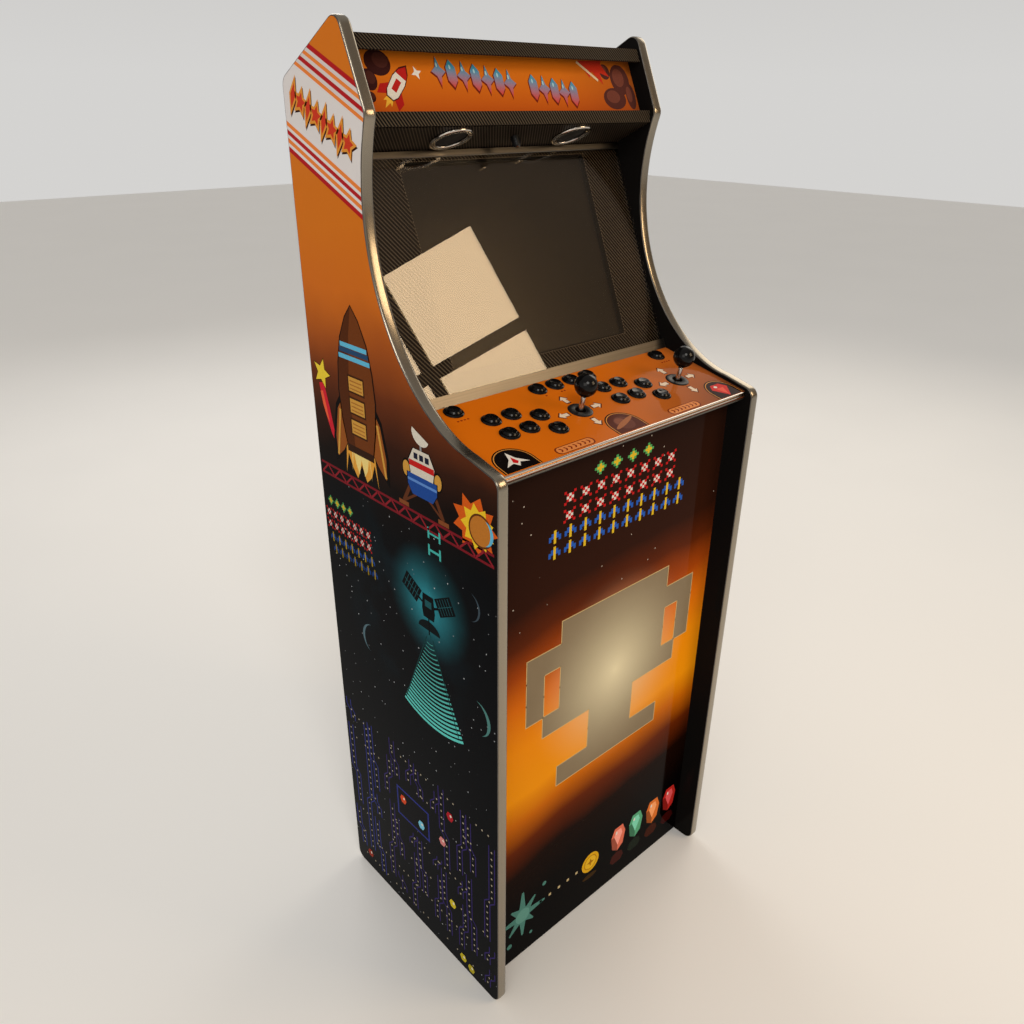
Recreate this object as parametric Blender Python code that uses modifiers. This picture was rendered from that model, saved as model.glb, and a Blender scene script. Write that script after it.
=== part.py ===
"""An upright two-player arcade cabinet, as separate boards, trims, controls and fittings.

Frame: the origin is on the floor, under the middle of the cabinet. +X is to the right of a
player who faces the cabinet, +Y points to its back and +Z up. Places on the cabinet's side
profile are given as (depth, height): depth is counted back from the side panels' front edge
and height up from their bottom edge.
"""
import math

import bmesh
import bpy
from mathutils import Euler, Matrix, Vector

# Carcass ---------------------------------------------------------------------------------
WIDTH = 0.576              # over the two side panels
DEPTH = 0.4444             # of a side panel
BOARD = 0.018              # thickness of the side panels and the base
THIN_BOARD = 0.012         # thickness of the other boards
GAP = 0.0003               # clearance between pieces that touch
TRIM_PROUD = 0.0022        # how far the edge trim stands out from a panel's edge
CORNER_RADIUS = 0.016      # of the side panels' corners
CORNER_STEPS = 4
CURVE_STEPS = 12
TRIM_GAP = 0.0002

# Side profile, (depth, height)
FRONT_TOP = (0.0, 1.0155)            # corner in front of the control panel
SHOULDER = (0.0564, 1.0299)          # where the straight stretch turns into the long curve
SHOULDER_HANDLE = (0.1305, math.radians(7.7))   # length and slope of the curve's tangent
MARQUEE_CORNER = (0.2492, 1.4297)
MARQUEE_HANDLE = (0.2066, math.radians(19.5))   # length and lean of the curve's tangent
PEAK = (0.2995, 1.5431)
REAR_TOP = (DEPTH, 1.4693)

# Front and back ----------------------------------------------------------------------------
FRONT_PANEL_DEPTH = 0.042
FRONT_PANEL_FOOT = 0.003
BASE_HEIGHT = 0.006
REAR_FACE = 0.432          # depth of the door's and the rear panel's outer faces
DOOR_FOOT = 0.027
DOOR_TOP = 0.9985
REAR_PANEL_FOOT = 1.000
REAR_PANEL_TOP = 1.4412
HINGE_PIN = (0.2655, 0.4345)         # x and depth of the door's hinge axis
HINGE_RADIUS = 0.003
DOOR_RIGHT = 0.2615
LOCK_HEIGHT = 0.9685
LOCK_BARREL = 0.0092
LOCK_HOLE = 0.0098
LOCK_ARM = 0.040           # reach of its arm
HINGE_INSET = 0.06         # of the hinge's ends from the door's
HINGE_LEAF = 0.0015
VENT_COUNT = 6
VENT_PITCH = 0.022
VENT_HALF_WIDTH = 0.11
VENT_HEIGHT = 0.008
VENT_DROP = 0.060          # of the first vent below the rear panel's top
INLET_X = -0.19
INLET_DROP = 0.40          # below the rear panel's top

COMPUTER_SIZE = (0.180, 0.150, 0.055)
COMPUTER_DEPTH = 0.160     # of its front

# Control panel -------------------------------------------------------------------------------
CONTROL_FRONT = (0.0124, 1.0144)     # the board's upper front edge
CONTROL_SLOPE = math.radians(12.7)
CONTROL_LENGTH = 0.185
CONTROL_BOARD = 0.016
CONTROL_TRIM = 0.003
BUTTON_HOLE = 0.014
BUTTON_RIM = 0.0155
BUTTON_STEM = 0.0132
BUTTON_BORE = 0.0122
BUTTON_SEGMENTS = 12
PLUNGER_RADIUS = 0.0117
BUTTON_TRAVEL = 0.003
LOOM_RADIUS = 0.0014
LOOM_DEPTH = 0.020         # of the ground wire below the panel's face
SINGLE_BUTTON = (0.2235, 0.1585)     # distance from the middle, and up the slope
CENTRE_ROW = 0.157         # up the slope
CENTRE_PITCH = 0.0365
CENTRE_SHIFT = -0.0065
JOYSTICKS = {"left": -0.0444, "right": 0.1864}
JOYSTICK_ROW = 0.080       # up the slope
# Six action buttons, measured from their joystick: the column's distance, the row up the slope
ACTION_COLUMNS = ((-0.068, 0.0165), (-0.106, 0.037), (-0.144, 0.037))
ACTION_PITCH = 0.040
PIVOT_DEPTH = 0.022        # of the joystick's pivot below the panel's face
BALL_RADIUS = 0.0175
BALL_HEIGHT = 0.042
SHAFT_RADIUS = 0.004
WASHER_RADIUS = 0.0195
WASHER_BORE = 0.0086
LEVER_HOLE = 0.0105
STICK_BASE = (0.060, 0.076, 0.036)       # width, length and depth of a joystick's base
STICK_WELL = 0.0175        # radius of the well that its lever swings in
WELL_DEPTH = 0.030
YOKE_BORE = 0.0085
YOKE_RADIUS = 0.0135
YOKE_HALF = 0.002

# Screen --------------------------------------------------------------------------------------
BEZEL_FOOT = (0.1988, 1.0639)        # a point on the bezel's front face, level with its foot
BEZEL_SLOPE = math.radians(67.0)
BEZEL_BOARD = 0.009
SCREEN_LOW = 0.0257        # the opening, measured up the bezel
SCREEN_HIGH = 0.3279
SCREEN_WIDTH = 0.373
MONITOR_SIZE = (0.410, 0.344, 0.020)     # its front frame: width, height and thickness
MONITOR_CASE = (0.240, 0.220, 0.048)     # the thicker case behind: its reach behind the bezel
BEZEL_TAIL = 0.006         # how far the bezel and glass run on below their foot
SCREEN_TOP = 0.3415        # where the speaker panel's face meets the bezel
GLASS = 0.005
RETAINER_FOOT = 0.1748     # up the control panel's slope
RETAINER_HEIGHT = 0.0166

# Marquee and speakers ------------------------------------------------------------------------
SPEAKER_SLOPE = math.radians(154.8)
SPEAKER_BOARD = 0.009
SPEAKER_LENGTH = 0.081
SPEAKER_ROW = 0.0465       # of the rings and the knob, from the panel's rear edge
SPEAKER_X = 0.120
SPEAKER_RING = 0.032
SPEAKER_BORE = 0.026
SPEAKER_SEGMENTS = 24
KNOB_HOLE = 0.0038
MARQUEE_FOOT = (0.2798, 1.4320)      # a point on the sheet's front face
MARQUEE_SLOPE = math.radians(65.5)
MARQUEE_SHEET = 0.004
RETAINER_TOP_EDGE = ((0.2860, 1.5025), (0.2940, 1.5205))
RETAINER_BOTTOM_EDGE = ((0.2555, 1.4145), (0.2580, 1.4320))
RETAINER_WALL = 0.003
RETAINER_LEG = 0.017
TOP_PANEL_FRONT = (0.326, 1.5095)
TOP_SLOPE = math.radians(-27.0)
TOP_LENGTH = 0.126

CUT_DEPTH = 0.030          # how far a cutter reaches below a face
CUT_RISE = 0.010           # and above it
INNER = WIDTH / 2 - BOARD            # x of the side panels' inner faces
SPAN = INNER - GAP                   # half the length of a board between them

COLOURS = {
    "printed_board": ((0.55, 0.20, 0.04), 0.22, 0.0),
    "black_board": ((0.015, 0.014, 0.013), 0.55, 0.0),
    "raw_board": ((0.30, 0.20, 0.12), 0.7, 0.0),
    "carbon_vinyl": ((0.05, 0.045, 0.04), 0.35, 0.0),
    "edge_metal": ((0.62, 0.61, 0.58), 0.25, 1.0),
    "bright_metal": ((0.75, 0.72, 0.68), 0.12, 1.0),
    "dark_glass": ((0.02, 0.018, 0.016), 0.05, 0.0),
    "black_plastic": ((0.012, 0.012, 0.012), 0.12, 0.0),
    "matt_plastic": ((0.03, 0.03, 0.03), 0.5, 0.0),
}


# Tools ---------------------------------------------------------------------------------------
def clear_scene():
    for obj in list(bpy.data.objects):
        bpy.data.objects.remove(obj, do_unlink=True)


def new_collection(name):
    group = bpy.data.collections.new(name)
    bpy.context.scene.collection.children.link(group)
    return group


def make_materials():
    made = {}
    for name, (colour, roughness, metallic) in COLOURS.items():
        mat = bpy.data.materials.new(name)
        mat.use_nodes = True
        shader = mat.node_tree.nodes["Principled BSDF"]
        shader.inputs["Base Color"].default_value = (*colour, 1.0)
        shader.inputs["Roughness"].default_value = roughness
        shader.inputs["Metallic"].default_value = metallic
        mat.diffuse_color = (*colour, 1.0)
        made[name] = mat
    return made


def cabinet_point(x, depth, height):
    """The world point for a place on the cabinet's side profile."""
    return Vector((x, depth - DEPTH / 2, height + TRIM_PROUD))


class Plane:
    """A sloping face: local X is the cabinet's, Y runs up the slope and Z out of the face."""

    def __init__(self, start, slope):
        self.start = start
        self.slope = slope

    def profile(self, along, out=0.0):
        """The (depth, height) of a place on the face, or out from it."""
        cos, sin = math.cos(self.slope), math.sin(self.slope)
        depth = self.start[0] + along * cos - out * sin
        height = self.start[1] + along * sin + out * cos
        return (depth, height)

    def point(self, x, along, out=0.0):
        return cabinet_point(x, *self.profile(along, out))

    def place(self, obj, x=0.0, along=0.0, out=0.0):
        obj.location = self.point(x, along, out)
        obj.rotation_euler = Euler((self.slope, 0.0, 0.0))
        return obj


CONTROL = Plane(CONTROL_FRONT, CONTROL_SLOPE)
BEZEL = Plane(BEZEL_FOOT, BEZEL_SLOPE)
SPEAKERS = Plane(BEZEL.profile(SCREEN_TOP), SPEAKER_SLOPE)
MARQUEE = Plane(MARQUEE_FOOT, MARQUEE_SLOPE)
TOP = Plane(TOP_PANEL_FRONT, TOP_SLOPE)


def add_object(name, data, mat, group):
    obj = bpy.data.objects.new(name, data)
    if mat is not None:
        data.materials.append(MATERIALS[mat])
    group.objects.link(obj)
    return obj


def box_mesh(name, low, high):
    size = [b - a for a, b in zip(low, high)]
    middle = [(a + b) / 2 for a, b in zip(low, high)]
    work = bmesh.new()
    bmesh.ops.create_cube(work, size=1.0)
    bmesh.ops.scale(work, vec=size, verts=work.verts)
    bmesh.ops.translate(work, vec=middle, verts=work.verts)
    mesh = bpy.data.meshes.new(name)
    work.to_mesh(mesh)
    work.free()
    return mesh


def box(name, low, high, mat, group=None):
    return add_object(name, box_mesh(name, low, high), mat, group or CABINET)


def turned(name, profile, segments, mat, group=None):
    """A turned piece about local Z: profile holds (radius, height), down its outer side."""
    mesh = bpy.data.meshes.new(name)
    edges = [(i, i + 1) for i in range(len(profile) - 1)]
    mesh.from_pydata([(r, 0.0, z) for r, z in profile], edges, [])
    obj = add_object(name, mesh, mat, group or CABINET)
    screw = obj.modifiers.new("turn", "SCREW")
    screw.steps = segments
    screw.render_steps = segments
    screw.use_merge_vertices = True
    screw.merge_threshold = 0.00005
    screw.use_smooth_shade = True
    return obj


def prism(name, outlines, half_width, mat, x=0.0, group=None):
    """Outlines of (depth, height) points, filled and drawn out along X about x."""
    curve = bpy.data.curves.new(name, "CURVE")
    curve.dimensions = "2D"
    curve.fill_mode = "BOTH"
    curve.extrude = half_width
    for outline in outlines:
        spline = curve.splines.new("POLY")
        spline.points.add(len(outline) - 1)
        for knot, (depth, height) in zip(spline.points, outline):
            knot.co = (depth, height, 0.0, 1.0)
        spline.use_cyclic_u = True
    obj = add_object(name, curve, mat, group or CABINET)
    obj.location = cabinet_point(x, 0.0, 0.0)
    obj.rotation_euler = Euler((math.radians(90), 0.0, math.radians(90)))
    return obj


def as_mesh(obj):
    """The curve object as a mesh object with its caps welded, in the same place."""
    bpy.context.view_layer.update()
    graph = bpy.context.evaluated_depsgraph_get()
    mesh = bpy.data.meshes.new_from_object(obj.evaluated_get(graph))
    work = bmesh.new()
    work.from_mesh(mesh)
    bmesh.ops.remove_doubles(work, verts=work.verts, dist=0.00002)
    bmesh.ops.recalc_face_normals(work, faces=work.faces)
    work.to_mesh(mesh)
    work.free()
    solid = bpy.data.objects.new(obj.name + "_solid", mesh)
    obj.users_collection[0].objects.link(solid)
    solid.matrix_world = obj.matrix_world
    name = obj.name
    bpy.data.objects.remove(obj, do_unlink=True)
    solid.name = name
    return solid


def as_cutter(obj):
    obj.hide_render = True
    obj.display_type = "WIRE"
    return obj


def combine(obj, operation, pieces_name, pieces):
    """Cut pieces out of obj, or join them to it, with one Boolean on their own collection."""
    group = bpy.data.collections.new(pieces_name)
    CUTTERS.children.link(group)
    for piece in pieces:
        for old in piece.users_collection:
            old.objects.unlink(piece)
        group.objects.link(as_cutter(piece))
    boolean = obj.modifiers.new(pieces_name, "BOOLEAN")
    boolean.operation = operation
    boolean.solver = "EXACT"
    boolean.operand_type = "COLLECTION"
    boolean.collection = group
    return obj


def cylinder(name, radius, low, high, segments, mat=None, group=None):
    profile = [(0.0, high), (radius, high), (radius, low), (0.0, low)]
    return turned(name, profile, segments, mat, group)


def soften(obj, width, segments=1):
    bevel = obj.modifiers.new("soften", "BEVEL")
    bevel.width = width
    bevel.segments = segments
    bevel.limit_method = "ANGLE"
    return obj


def board(name, plane, low, high, thickness, mat, half_width=SPAN):
    """A board whose outer face lies on the plane, from low to high along its slope."""
    obj = box(name, (-half_width, low, -thickness), (half_width, high, 0.0), mat)
    return plane.place(obj)


# Side profile --------------------------------------------------------------------------------
def fillet(before, corner, after, radius, steps):
    """The points of an arc that rounds a corner."""
    corner = Vector(corner)
    into = (Vector(before) - corner).normalized()
    away = (Vector(after) - corner).normalized()
    half = into.angle(away) / 2
    centre = corner + (into + away).normalized() * (radius / math.sin(half))
    first = corner + into * (radius / math.tan(half)) - centre
    last = corner + away * (radius / math.tan(half)) - centre
    turn = first.angle_signed(last)
    points = []
    for step in range(steps + 1):
        angle = -turn * step / steps
        points.append(tuple(centre + Matrix.Rotation(angle, 2) @ first))
    return points


def bezier(start, start_handle, end_handle, end, steps):
    """The inner points of a cubic curve."""
    knots = [Vector(p) for p in (start, start_handle, end_handle, end)]
    points = []
    for step in range(1, steps):
        t = step / steps
        weights = ((1 - t) ** 3, 3 * (1 - t) ** 2 * t, 3 * (1 - t) * t * t, t ** 3)
        points.append(tuple(sum((k * w for k, w in zip(knots, weights)), Vector((0, 0)))))
    return points


def side_outline():
    """The side panel's outline, from the front foot up and over to the rear foot."""
    reach, slope = SHOULDER_HANDLE
    low_handle = (SHOULDER[0] + reach * math.cos(slope), SHOULDER[1] + reach * math.sin(slope))
    reach, lean = MARQUEE_HANDLE
    high_handle = (MARQUEE_CORNER[0] + reach * math.sin(lean),
                   MARQUEE_CORNER[1] - reach * math.cos(lean))
    curve = bezier(SHOULDER, low_handle, high_handle, MARQUEE_CORNER, CURVE_STEPS)
    corners = [(0.0, 0.0), FRONT_TOP, SHOULDER, *curve, MARQUEE_CORNER, PEAK, REAR_TOP,
               (DEPTH, 0.0)]
    rounded = {(0.0, 0.0), FRONT_TOP, MARQUEE_CORNER, PEAK, REAR_TOP, (DEPTH, 0.0)}
    outline = []
    for i, corner in enumerate(corners):
        if corner in rounded:
            before, after = corners[i - 1], corners[(i + 1) % len(corners)]
            outline += fillet(before, corner, after, CORNER_RADIUS, CORNER_STEPS)
        else:
            outline.append(corner)
    return outline


def grown(outline, distance):
    """The outline moved outwards by a distance."""
    points = []
    count = len(outline)
    for i, point in enumerate(outline):
        here = Vector(point)
        into = (here - Vector(outline[i - 1])).normalized()
        away = (Vector(outline[(i + 1) % count]) - here).normalized()
        tangent = (into + away).normalized()
        normal = Vector((-tangent.y, tangent.x))
        spread = distance / max(0.5, normal.dot(Vector((-into.y, into.x))))
        points.append(tuple(here + normal * spread))
    return points


def make_sides():
    outline = side_outline()
    inner_edge = grown(outline, TRIM_GAP)
    outer_edge = grown(outline, TRIM_PROUD)
    middle = INNER + BOARD / 2
    for side, x in (("left", -middle), ("right", middle)):
        prism("side_panel_" + side, [outline], BOARD / 2, "printed_board", x)
        prism("edge_trim_" + side, [outer_edge, inner_edge], BOARD / 2, "edge_metal", x)


# Carcass boards ------------------------------------------------------------------------------
def make_boards():
    front = Plane((FRONT_PANEL_DEPTH, 0.0), math.radians(90))
    under_control = CONTROL.profile(0.0, -CONTROL_BOARD)
    rise = (FRONT_PANEL_DEPTH - under_control[0]) * math.tan(CONTROL_SLOPE)
    front_top = under_control[1] + rise - 2 * GAP
    board("front_panel", front, FRONT_PANEL_FOOT, front_top, THIN_BOARD, "printed_board")
    base_front = FRONT_PANEL_DEPTH + THIN_BOARD + GAP
    base_back = REAR_FACE - THIN_BOARD - GAP
    base = Plane((base_front, BASE_HEIGHT + BOARD), 0.0)
    board("base_board", base, 0.0, base_back - base_front, BOARD, "raw_board")
    board("top_panel", TOP, 0.0, TOP_LENGTH, THIN_BOARD, "black_board")


def make_rear_panel():
    back = Plane((REAR_FACE, REAR_PANEL_TOP), math.radians(-90))
    drop = REAR_PANEL_TOP - REAR_PANEL_FOOT
    panel = board("rear_panel", back, 0.0, drop, THIN_BOARD, "black_board")
    cuts = []
    for row in range(VENT_COUNT):
        low = VENT_DROP + row * VENT_PITCH
        slot = box("vent_slot", (-VENT_HALF_WIDTH, low, -CUT_DEPTH),
                   (VENT_HALF_WIDTH, low + VENT_HEIGHT, CUT_RISE), None, CUTTERS)
        cuts.append(back.place(slot))
    hole = box("inlet_hole", (-0.0138, -0.0103, -CUT_DEPTH), (0.0138, 0.0103, CUT_RISE), None,
               CUTTERS)
    cuts.append(back.place(hole, INLET_X, INLET_DROP))
    combine(panel, "DIFFERENCE", "rear_panel_cuts", cuts)


def make_power_inlet():
    back = Plane((REAR_FACE, REAR_PANEL_TOP), math.radians(-90))
    shell = box("power_inlet", (-0.0135, -0.010, -0.026), (0.0135, 0.010, 0.001),
                "matt_plastic")
    flange = box("inlet_flange", (-0.025, -0.0125, GAP), (0.025, 0.0125, 0.0025), None, CUTTERS)
    socket = box("inlet_socket", (-0.0105, -0.007, -0.014), (0.0105, 0.007, 0.01), None,
                 CUTTERS)
    for piece in (shell, flange, socket):
        back.place(piece, INLET_X, INLET_DROP)
    combine(shell, "UNION", "inlet_flanges", [flange])
    combine(shell, "DIFFERENCE", "inlet_sockets", [socket])


# Rear door -----------------------------------------------------------------------------------
def make_door():
    pin_x, pin_depth = HINGE_PIN
    door = box("rear_door",
               (-SPAN - pin_x, REAR_FACE - THIN_BOARD - pin_depth, DOOR_FOOT),
               (DOOR_RIGHT - pin_x, REAR_FACE - pin_depth, DOOR_TOP), "black_board")
    door.location = cabinet_point(pin_x, pin_depth, 0.0)
    bore = cylinder("lock_hole", LOCK_HOLE, -CUT_DEPTH, CUT_RISE, 16, None, CUTTERS)
    bore.location = cabinet_point(0.0, REAR_FACE, LOCK_HEIGHT)
    bore.rotation_euler = Euler((math.radians(-90), 0.0, 0.0))
    combine(door, "DIFFERENCE", "door_cuts", [bore])


def make_hinge():
    """The door's long hinge: a leaf on the side panel and the barrel round its pin."""
    pin_x, pin_depth = HINGE_PIN
    low, high = DOOR_FOOT + HINGE_INSET, DOOR_TOP - HINGE_INSET
    leaf_inner = INNER - GAP - HINGE_LEAF
    leaf = box("door_hinge", (leaf_inner - pin_x, -0.020, low),
               (INNER - GAP - pin_x, 0.002, high), "edge_metal")
    leaf.location = cabinet_point(pin_x, pin_depth, 0.0)
    barrel = cylinder("hinge_barrel", HINGE_RADIUS, low, high, 12, None, CUTTERS)
    barrel.location = cabinet_point(pin_x, pin_depth, 0.0)
    combine(leaf, "UNION", "hinge_barrels", [barrel])


def make_lock():
    """A cam lock: its arm lies to the left, and turns up behind the rear panel to lock."""
    head = [(0.0, 0.0028), (0.0105, 0.0028), (0.012, 0.0018), (0.012, GAP), (LOCK_BARREL, GAP),
            (LOCK_BARREL, -0.020), (0.0, -0.020)]
    lock = turned("door_lock", head, 16, "bright_metal")
    lock.location = cabinet_point(0.0, REAR_FACE, LOCK_HEIGHT)
    lock.rotation_euler = Euler((math.radians(-90), 0.0, 0.0))
    arm = box("lock_arm", (-LOCK_ARM, -0.007, -0.0195), (0.007, 0.007, -0.0165), None, CUTTERS)
    arm.matrix_world = matrix_of(lock)
    keyway = box("lock_keyway", (-0.001, -0.005, 0.0008), (0.001, 0.005, 0.01), None, CUTTERS)
    keyway.matrix_world = matrix_of(lock)
    combine(lock, "UNION", "lock_arms", [arm])
    combine(lock, "DIFFERENCE", "lock_keyways", [keyway])


def matrix_of(obj):
    return Matrix.LocRotScale(obj.location, obj.rotation_euler, obj.scale)


# Screen --------------------------------------------------------------------------------------
def make_screen():
    opening = (SCREEN_LOW + SCREEN_HIGH) / 2
    top = SCREEN_TOP - 2 * GAP
    foot = -BEZEL_TAIL
    bezel = board("monitor_bezel", BEZEL, foot, top, BEZEL_BOARD, "carbon_vinyl")
    hole = box("screen_opening", (-SCREEN_WIDTH / 2, SCREEN_LOW, -CUT_DEPTH),
               (SCREEN_WIDTH / 2, SCREEN_HIGH, CUT_RISE), None, CUTTERS)
    combine(bezel, "DIFFERENCE", "bezel_cuts", [BEZEL.place(hole)])
    glass = box("screen_glass", (-SPAN, foot, 0.0), (SPAN, top, GLASS), "dark_glass")
    BEZEL.place(glass, out=GAP)
    wide, tall, thick = MONITOR_SIZE
    monitor = box("monitor", (-wide / 2, opening - tall / 2, -thick),
                  (wide / 2, opening + tall / 2, 0.0), "black_plastic")
    BEZEL.place(monitor, out=-BEZEL_BOARD - GAP)
    wide, tall, reach = MONITOR_CASE
    case = box("monitor_case", (-wide / 2, opening - tall / 2, -reach),
               (wide / 2, opening + tall / 2, -thick / 2), None, CUTTERS)
    BEZEL.place(case, out=-BEZEL_BOARD - GAP)
    combine(monitor, "UNION", "monitor_cases", [case])


def make_glass_retainer():
    """An aluminium angle on the control panel that holds the foot of the glass."""
    lean = BEZEL_SLOPE - CONTROL_SLOPE
    cos, sin = math.cos(lean), math.sin(lean)
    wall, flange, base = 0.002, 0.0015, 0.0004
    foot = (RETAINER_FOOT, base)
    tip = (foot[0] + RETAINER_HEIGHT * cos, foot[1] + RETAINER_HEIGHT * sin)
    back_tip = (tip[0] + wall * sin, tip[1] - wall * cos)
    inner = (foot[0] + wall / sin + flange * cos / sin, base + flange)
    heel = RETAINER_FOOT + 0.0105
    section = [foot, tip, back_tip, inner, (heel, base + flange), (heel, base)]
    outline = [CONTROL.profile(along, out) for along, out in section]
    prism("glass_retainer", [outline], SPAN, "edge_metal")


# Marquee and speakers ------------------------------------------------------------------------
def angle_outline(edge):
    """An L section: its face runs up the edge, and its leg goes back from the top."""
    low, high = (Vector(p) for p in edge)
    up = (high - low).normalized()
    back = Vector((up.y, -up.x))
    length = (high - low).length
    wall, leg = RETAINER_WALL, RETAINER_LEG
    section = [(0, 0), (0, length), (leg, length), (leg, length - wall), (wall, length - wall),
               (wall, 0)]
    return [tuple(low + back * a + up * b) for a, b in section]


def make_marquee():
    sheet = box("marquee_panel", (-SPAN, -0.004, -MARQUEE_SHEET), (SPAN, 0.084, 0.0),
                "printed_board")
    MARQUEE.place(sheet)
    for name, edge in (("top", RETAINER_TOP_EDGE), ("bottom", RETAINER_BOTTOM_EDGE)):
        prism("marquee_retainer_" + name, [angle_outline(edge)], SPAN, "carbon_vinyl")
    light = box("marquee_light", (-0.22, 0.030, -0.018), (0.22, 0.054, 0.0), "matt_plastic")
    TOP.place(light, out=-THIN_BOARD - GAP)
    soften(light, 0.003)


def make_speaker_panel():
    panel = board("speaker_panel", SPEAKERS, -0.006, SPEAKER_LENGTH, SPEAKER_BOARD,
                  "carbon_vinyl")
    cuts = []
    for x in (-SPEAKER_X, SPEAKER_X):
        hole = cylinder("speaker_hole", SPEAKER_BORE, -CUT_DEPTH, CUT_RISE, SPEAKER_SEGMENTS,
                        None, CUTTERS)
        cuts.append(SPEAKERS.place(hole, x, SPEAKER_ROW))
    hole = cylinder("knob_hole", KNOB_HOLE, -CUT_DEPTH, CUT_RISE, 12, None, CUTTERS)
    cuts.append(SPEAKERS.place(hole, 0.0, SPEAKER_ROW))
    combine(panel, "DIFFERENCE", "speaker_panel_cuts", cuts)
    strip = box("speaker_edge_strip", (-SPAN, -0.0095, 0.0), (SPAN, 0.0, 0.0035), "edge_metal")
    BEZEL.place(strip, along=SCREEN_TOP - 2 * GAP, out=GLASS + 2 * GAP)
    soften(strip, 0.0008)


def make_speakers():
    ring = [(0.0245, GAP), (0.0245, 0.0035), (0.0275, 0.0055), (0.0305, 0.0045),
            (SPEAKER_RING, 0.0022), (SPEAKER_RING, GAP), (0.0245, GAP)]
    back = -SPEAKER_BOARD - GAP
    driver = [(0.0, back - 0.010), (0.008, back - 0.008), (0.0235, back),
              (0.0325, back), (0.0325, back - 0.002), (0.026, back - 0.002),
              (0.019, back - 0.011), (0.019, back - 0.024), (0.0, back - 0.024)]
    for side, x in (("left", -SPEAKER_X), ("right", SPEAKER_X)):
        piece = turned("speaker_ring_" + side, ring, SPEAKER_SEGMENTS, "bright_metal")
        SPEAKERS.place(piece, x, SPEAKER_ROW)
        piece = turned("speaker_driver_" + side, driver, 16, "matt_plastic")
        SPEAKERS.place(piece, x, SPEAKER_ROW)


def make_volume_knob():
    profile = [(0.0, 0.0165), (0.0045, 0.0165), (0.0058, 0.0150), (0.0065, 0.0010),
               (0.0032, 0.0010), (0.0032, -0.0220), (0.0, -0.0220)]
    knob = turned("volume_knob", profile, 16, "black_plastic")
    SPEAKERS.place(knob, 0.0, SPEAKER_ROW)


# Control panel -------------------------------------------------------------------------------
def action_buttons(side):
    """The six action buttons of one player, in the order that their ground wire takes."""
    stick = JOYSTICKS[side]
    upper = [(stick + dx, JOYSTICK_ROW + dy) for dx, dy in ACTION_COLUMNS]
    lower = [(x, along - ACTION_PITCH) for x, along in upper]
    return [upper[2], lower[2], lower[1], lower[0], upper[0], upper[1]]


def centre_buttons():
    return [(CENTRE_SHIFT + (i - 1.5) * CENTRE_PITCH, CENTRE_ROW) for i in range(4)]


def player_buttons(side):
    """One player's nine buttons, along their ground wire."""
    action, centre = action_buttons(side), centre_buttons()
    single_x, single_row = SINGLE_BUTTON
    if side == "left":
        return [(-single_x, single_row), *action, centre[0], centre[1]]
    return [centre[2], centre[3], *action, (single_x, single_row)]


def make_control_panel():
    panel = board("control_panel", CONTROL, 0.0, CONTROL_LENGTH, CONTROL_BOARD, "printed_board")
    cuts = []
    for side, stick in JOYSTICKS.items():
        for x, along in player_buttons(side):
            hole = cylinder("button_hole", BUTTON_HOLE, -CUT_DEPTH, CUT_RISE, BUTTON_SEGMENTS,
                            None, CUTTERS)
            cuts.append(CONTROL.place(hole, x, along))
        hole = cylinder("lever_hole", LEVER_HOLE, -CUT_DEPTH, CUT_RISE, 16, None, CUTTERS)
        cuts.append(CONTROL.place(hole, stick, JOYSTICK_ROW))
    combine(panel, "DIFFERENCE", "control_panel_cuts", cuts)


def make_control_trim():
    """A bright bulging strip along the board's front edge."""
    half = CONTROL_BOARD / 2
    section = [(-GAP, 0.0)]
    for step in range(9):
        angle = math.pi * step / 8
        bulge = CONTROL_TRIM * (0.35 + 0.65 * math.sin(angle))
        section.append((-GAP - bulge, -half + half * math.cos(angle)))
    section.append((-GAP, -CONTROL_BOARD))
    outline = [CONTROL.profile(along, out) for along, out in section]
    prism("control_panel_trim", [outline], SPAN, "bright_metal")


def make_button_housings(side):
    """Nine rims with their threaded stems, strung on the ground wire that joins them."""
    places = player_buttons(side)
    curve = bpy.data.curves.new("loom", "CURVE")
    curve.dimensions = "3D"
    curve.bevel_depth = LOOM_RADIUS
    curve.bevel_resolution = 1
    curve.use_fill_caps = True
    spline = curve.splines.new("POLY")
    spline.points.add(len(places) - 1)
    for knot, (x, along) in zip(spline.points, places):
        knot.co = (x, along, -LOOM_DEPTH, 1.0)
    loom = add_object("button_housings_" + side, curve, "black_plastic", CABINET)
    loom = as_mesh(CONTROL.place(loom))
    floor = -0.0125
    foot = -0.026
    profile = [(0.0, floor), (BUTTON_BORE, floor), (BUTTON_BORE, 0.0030),
               (0.0138, 0.0034), (BUTTON_RIM, 0.0012), (BUTTON_RIM, GAP),
               (BUTTON_STEM, GAP), (BUTTON_STEM, foot), (0.0, foot)]
    rims = []
    for x, along in places:
        rim = turned("button_housing", profile, BUTTON_SEGMENTS, None, CUTTERS)
        rims.append(CONTROL.place(rim, x, along))
    combine(loom, "UNION", "button_housings_" + side + "_rims", rims)


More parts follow.
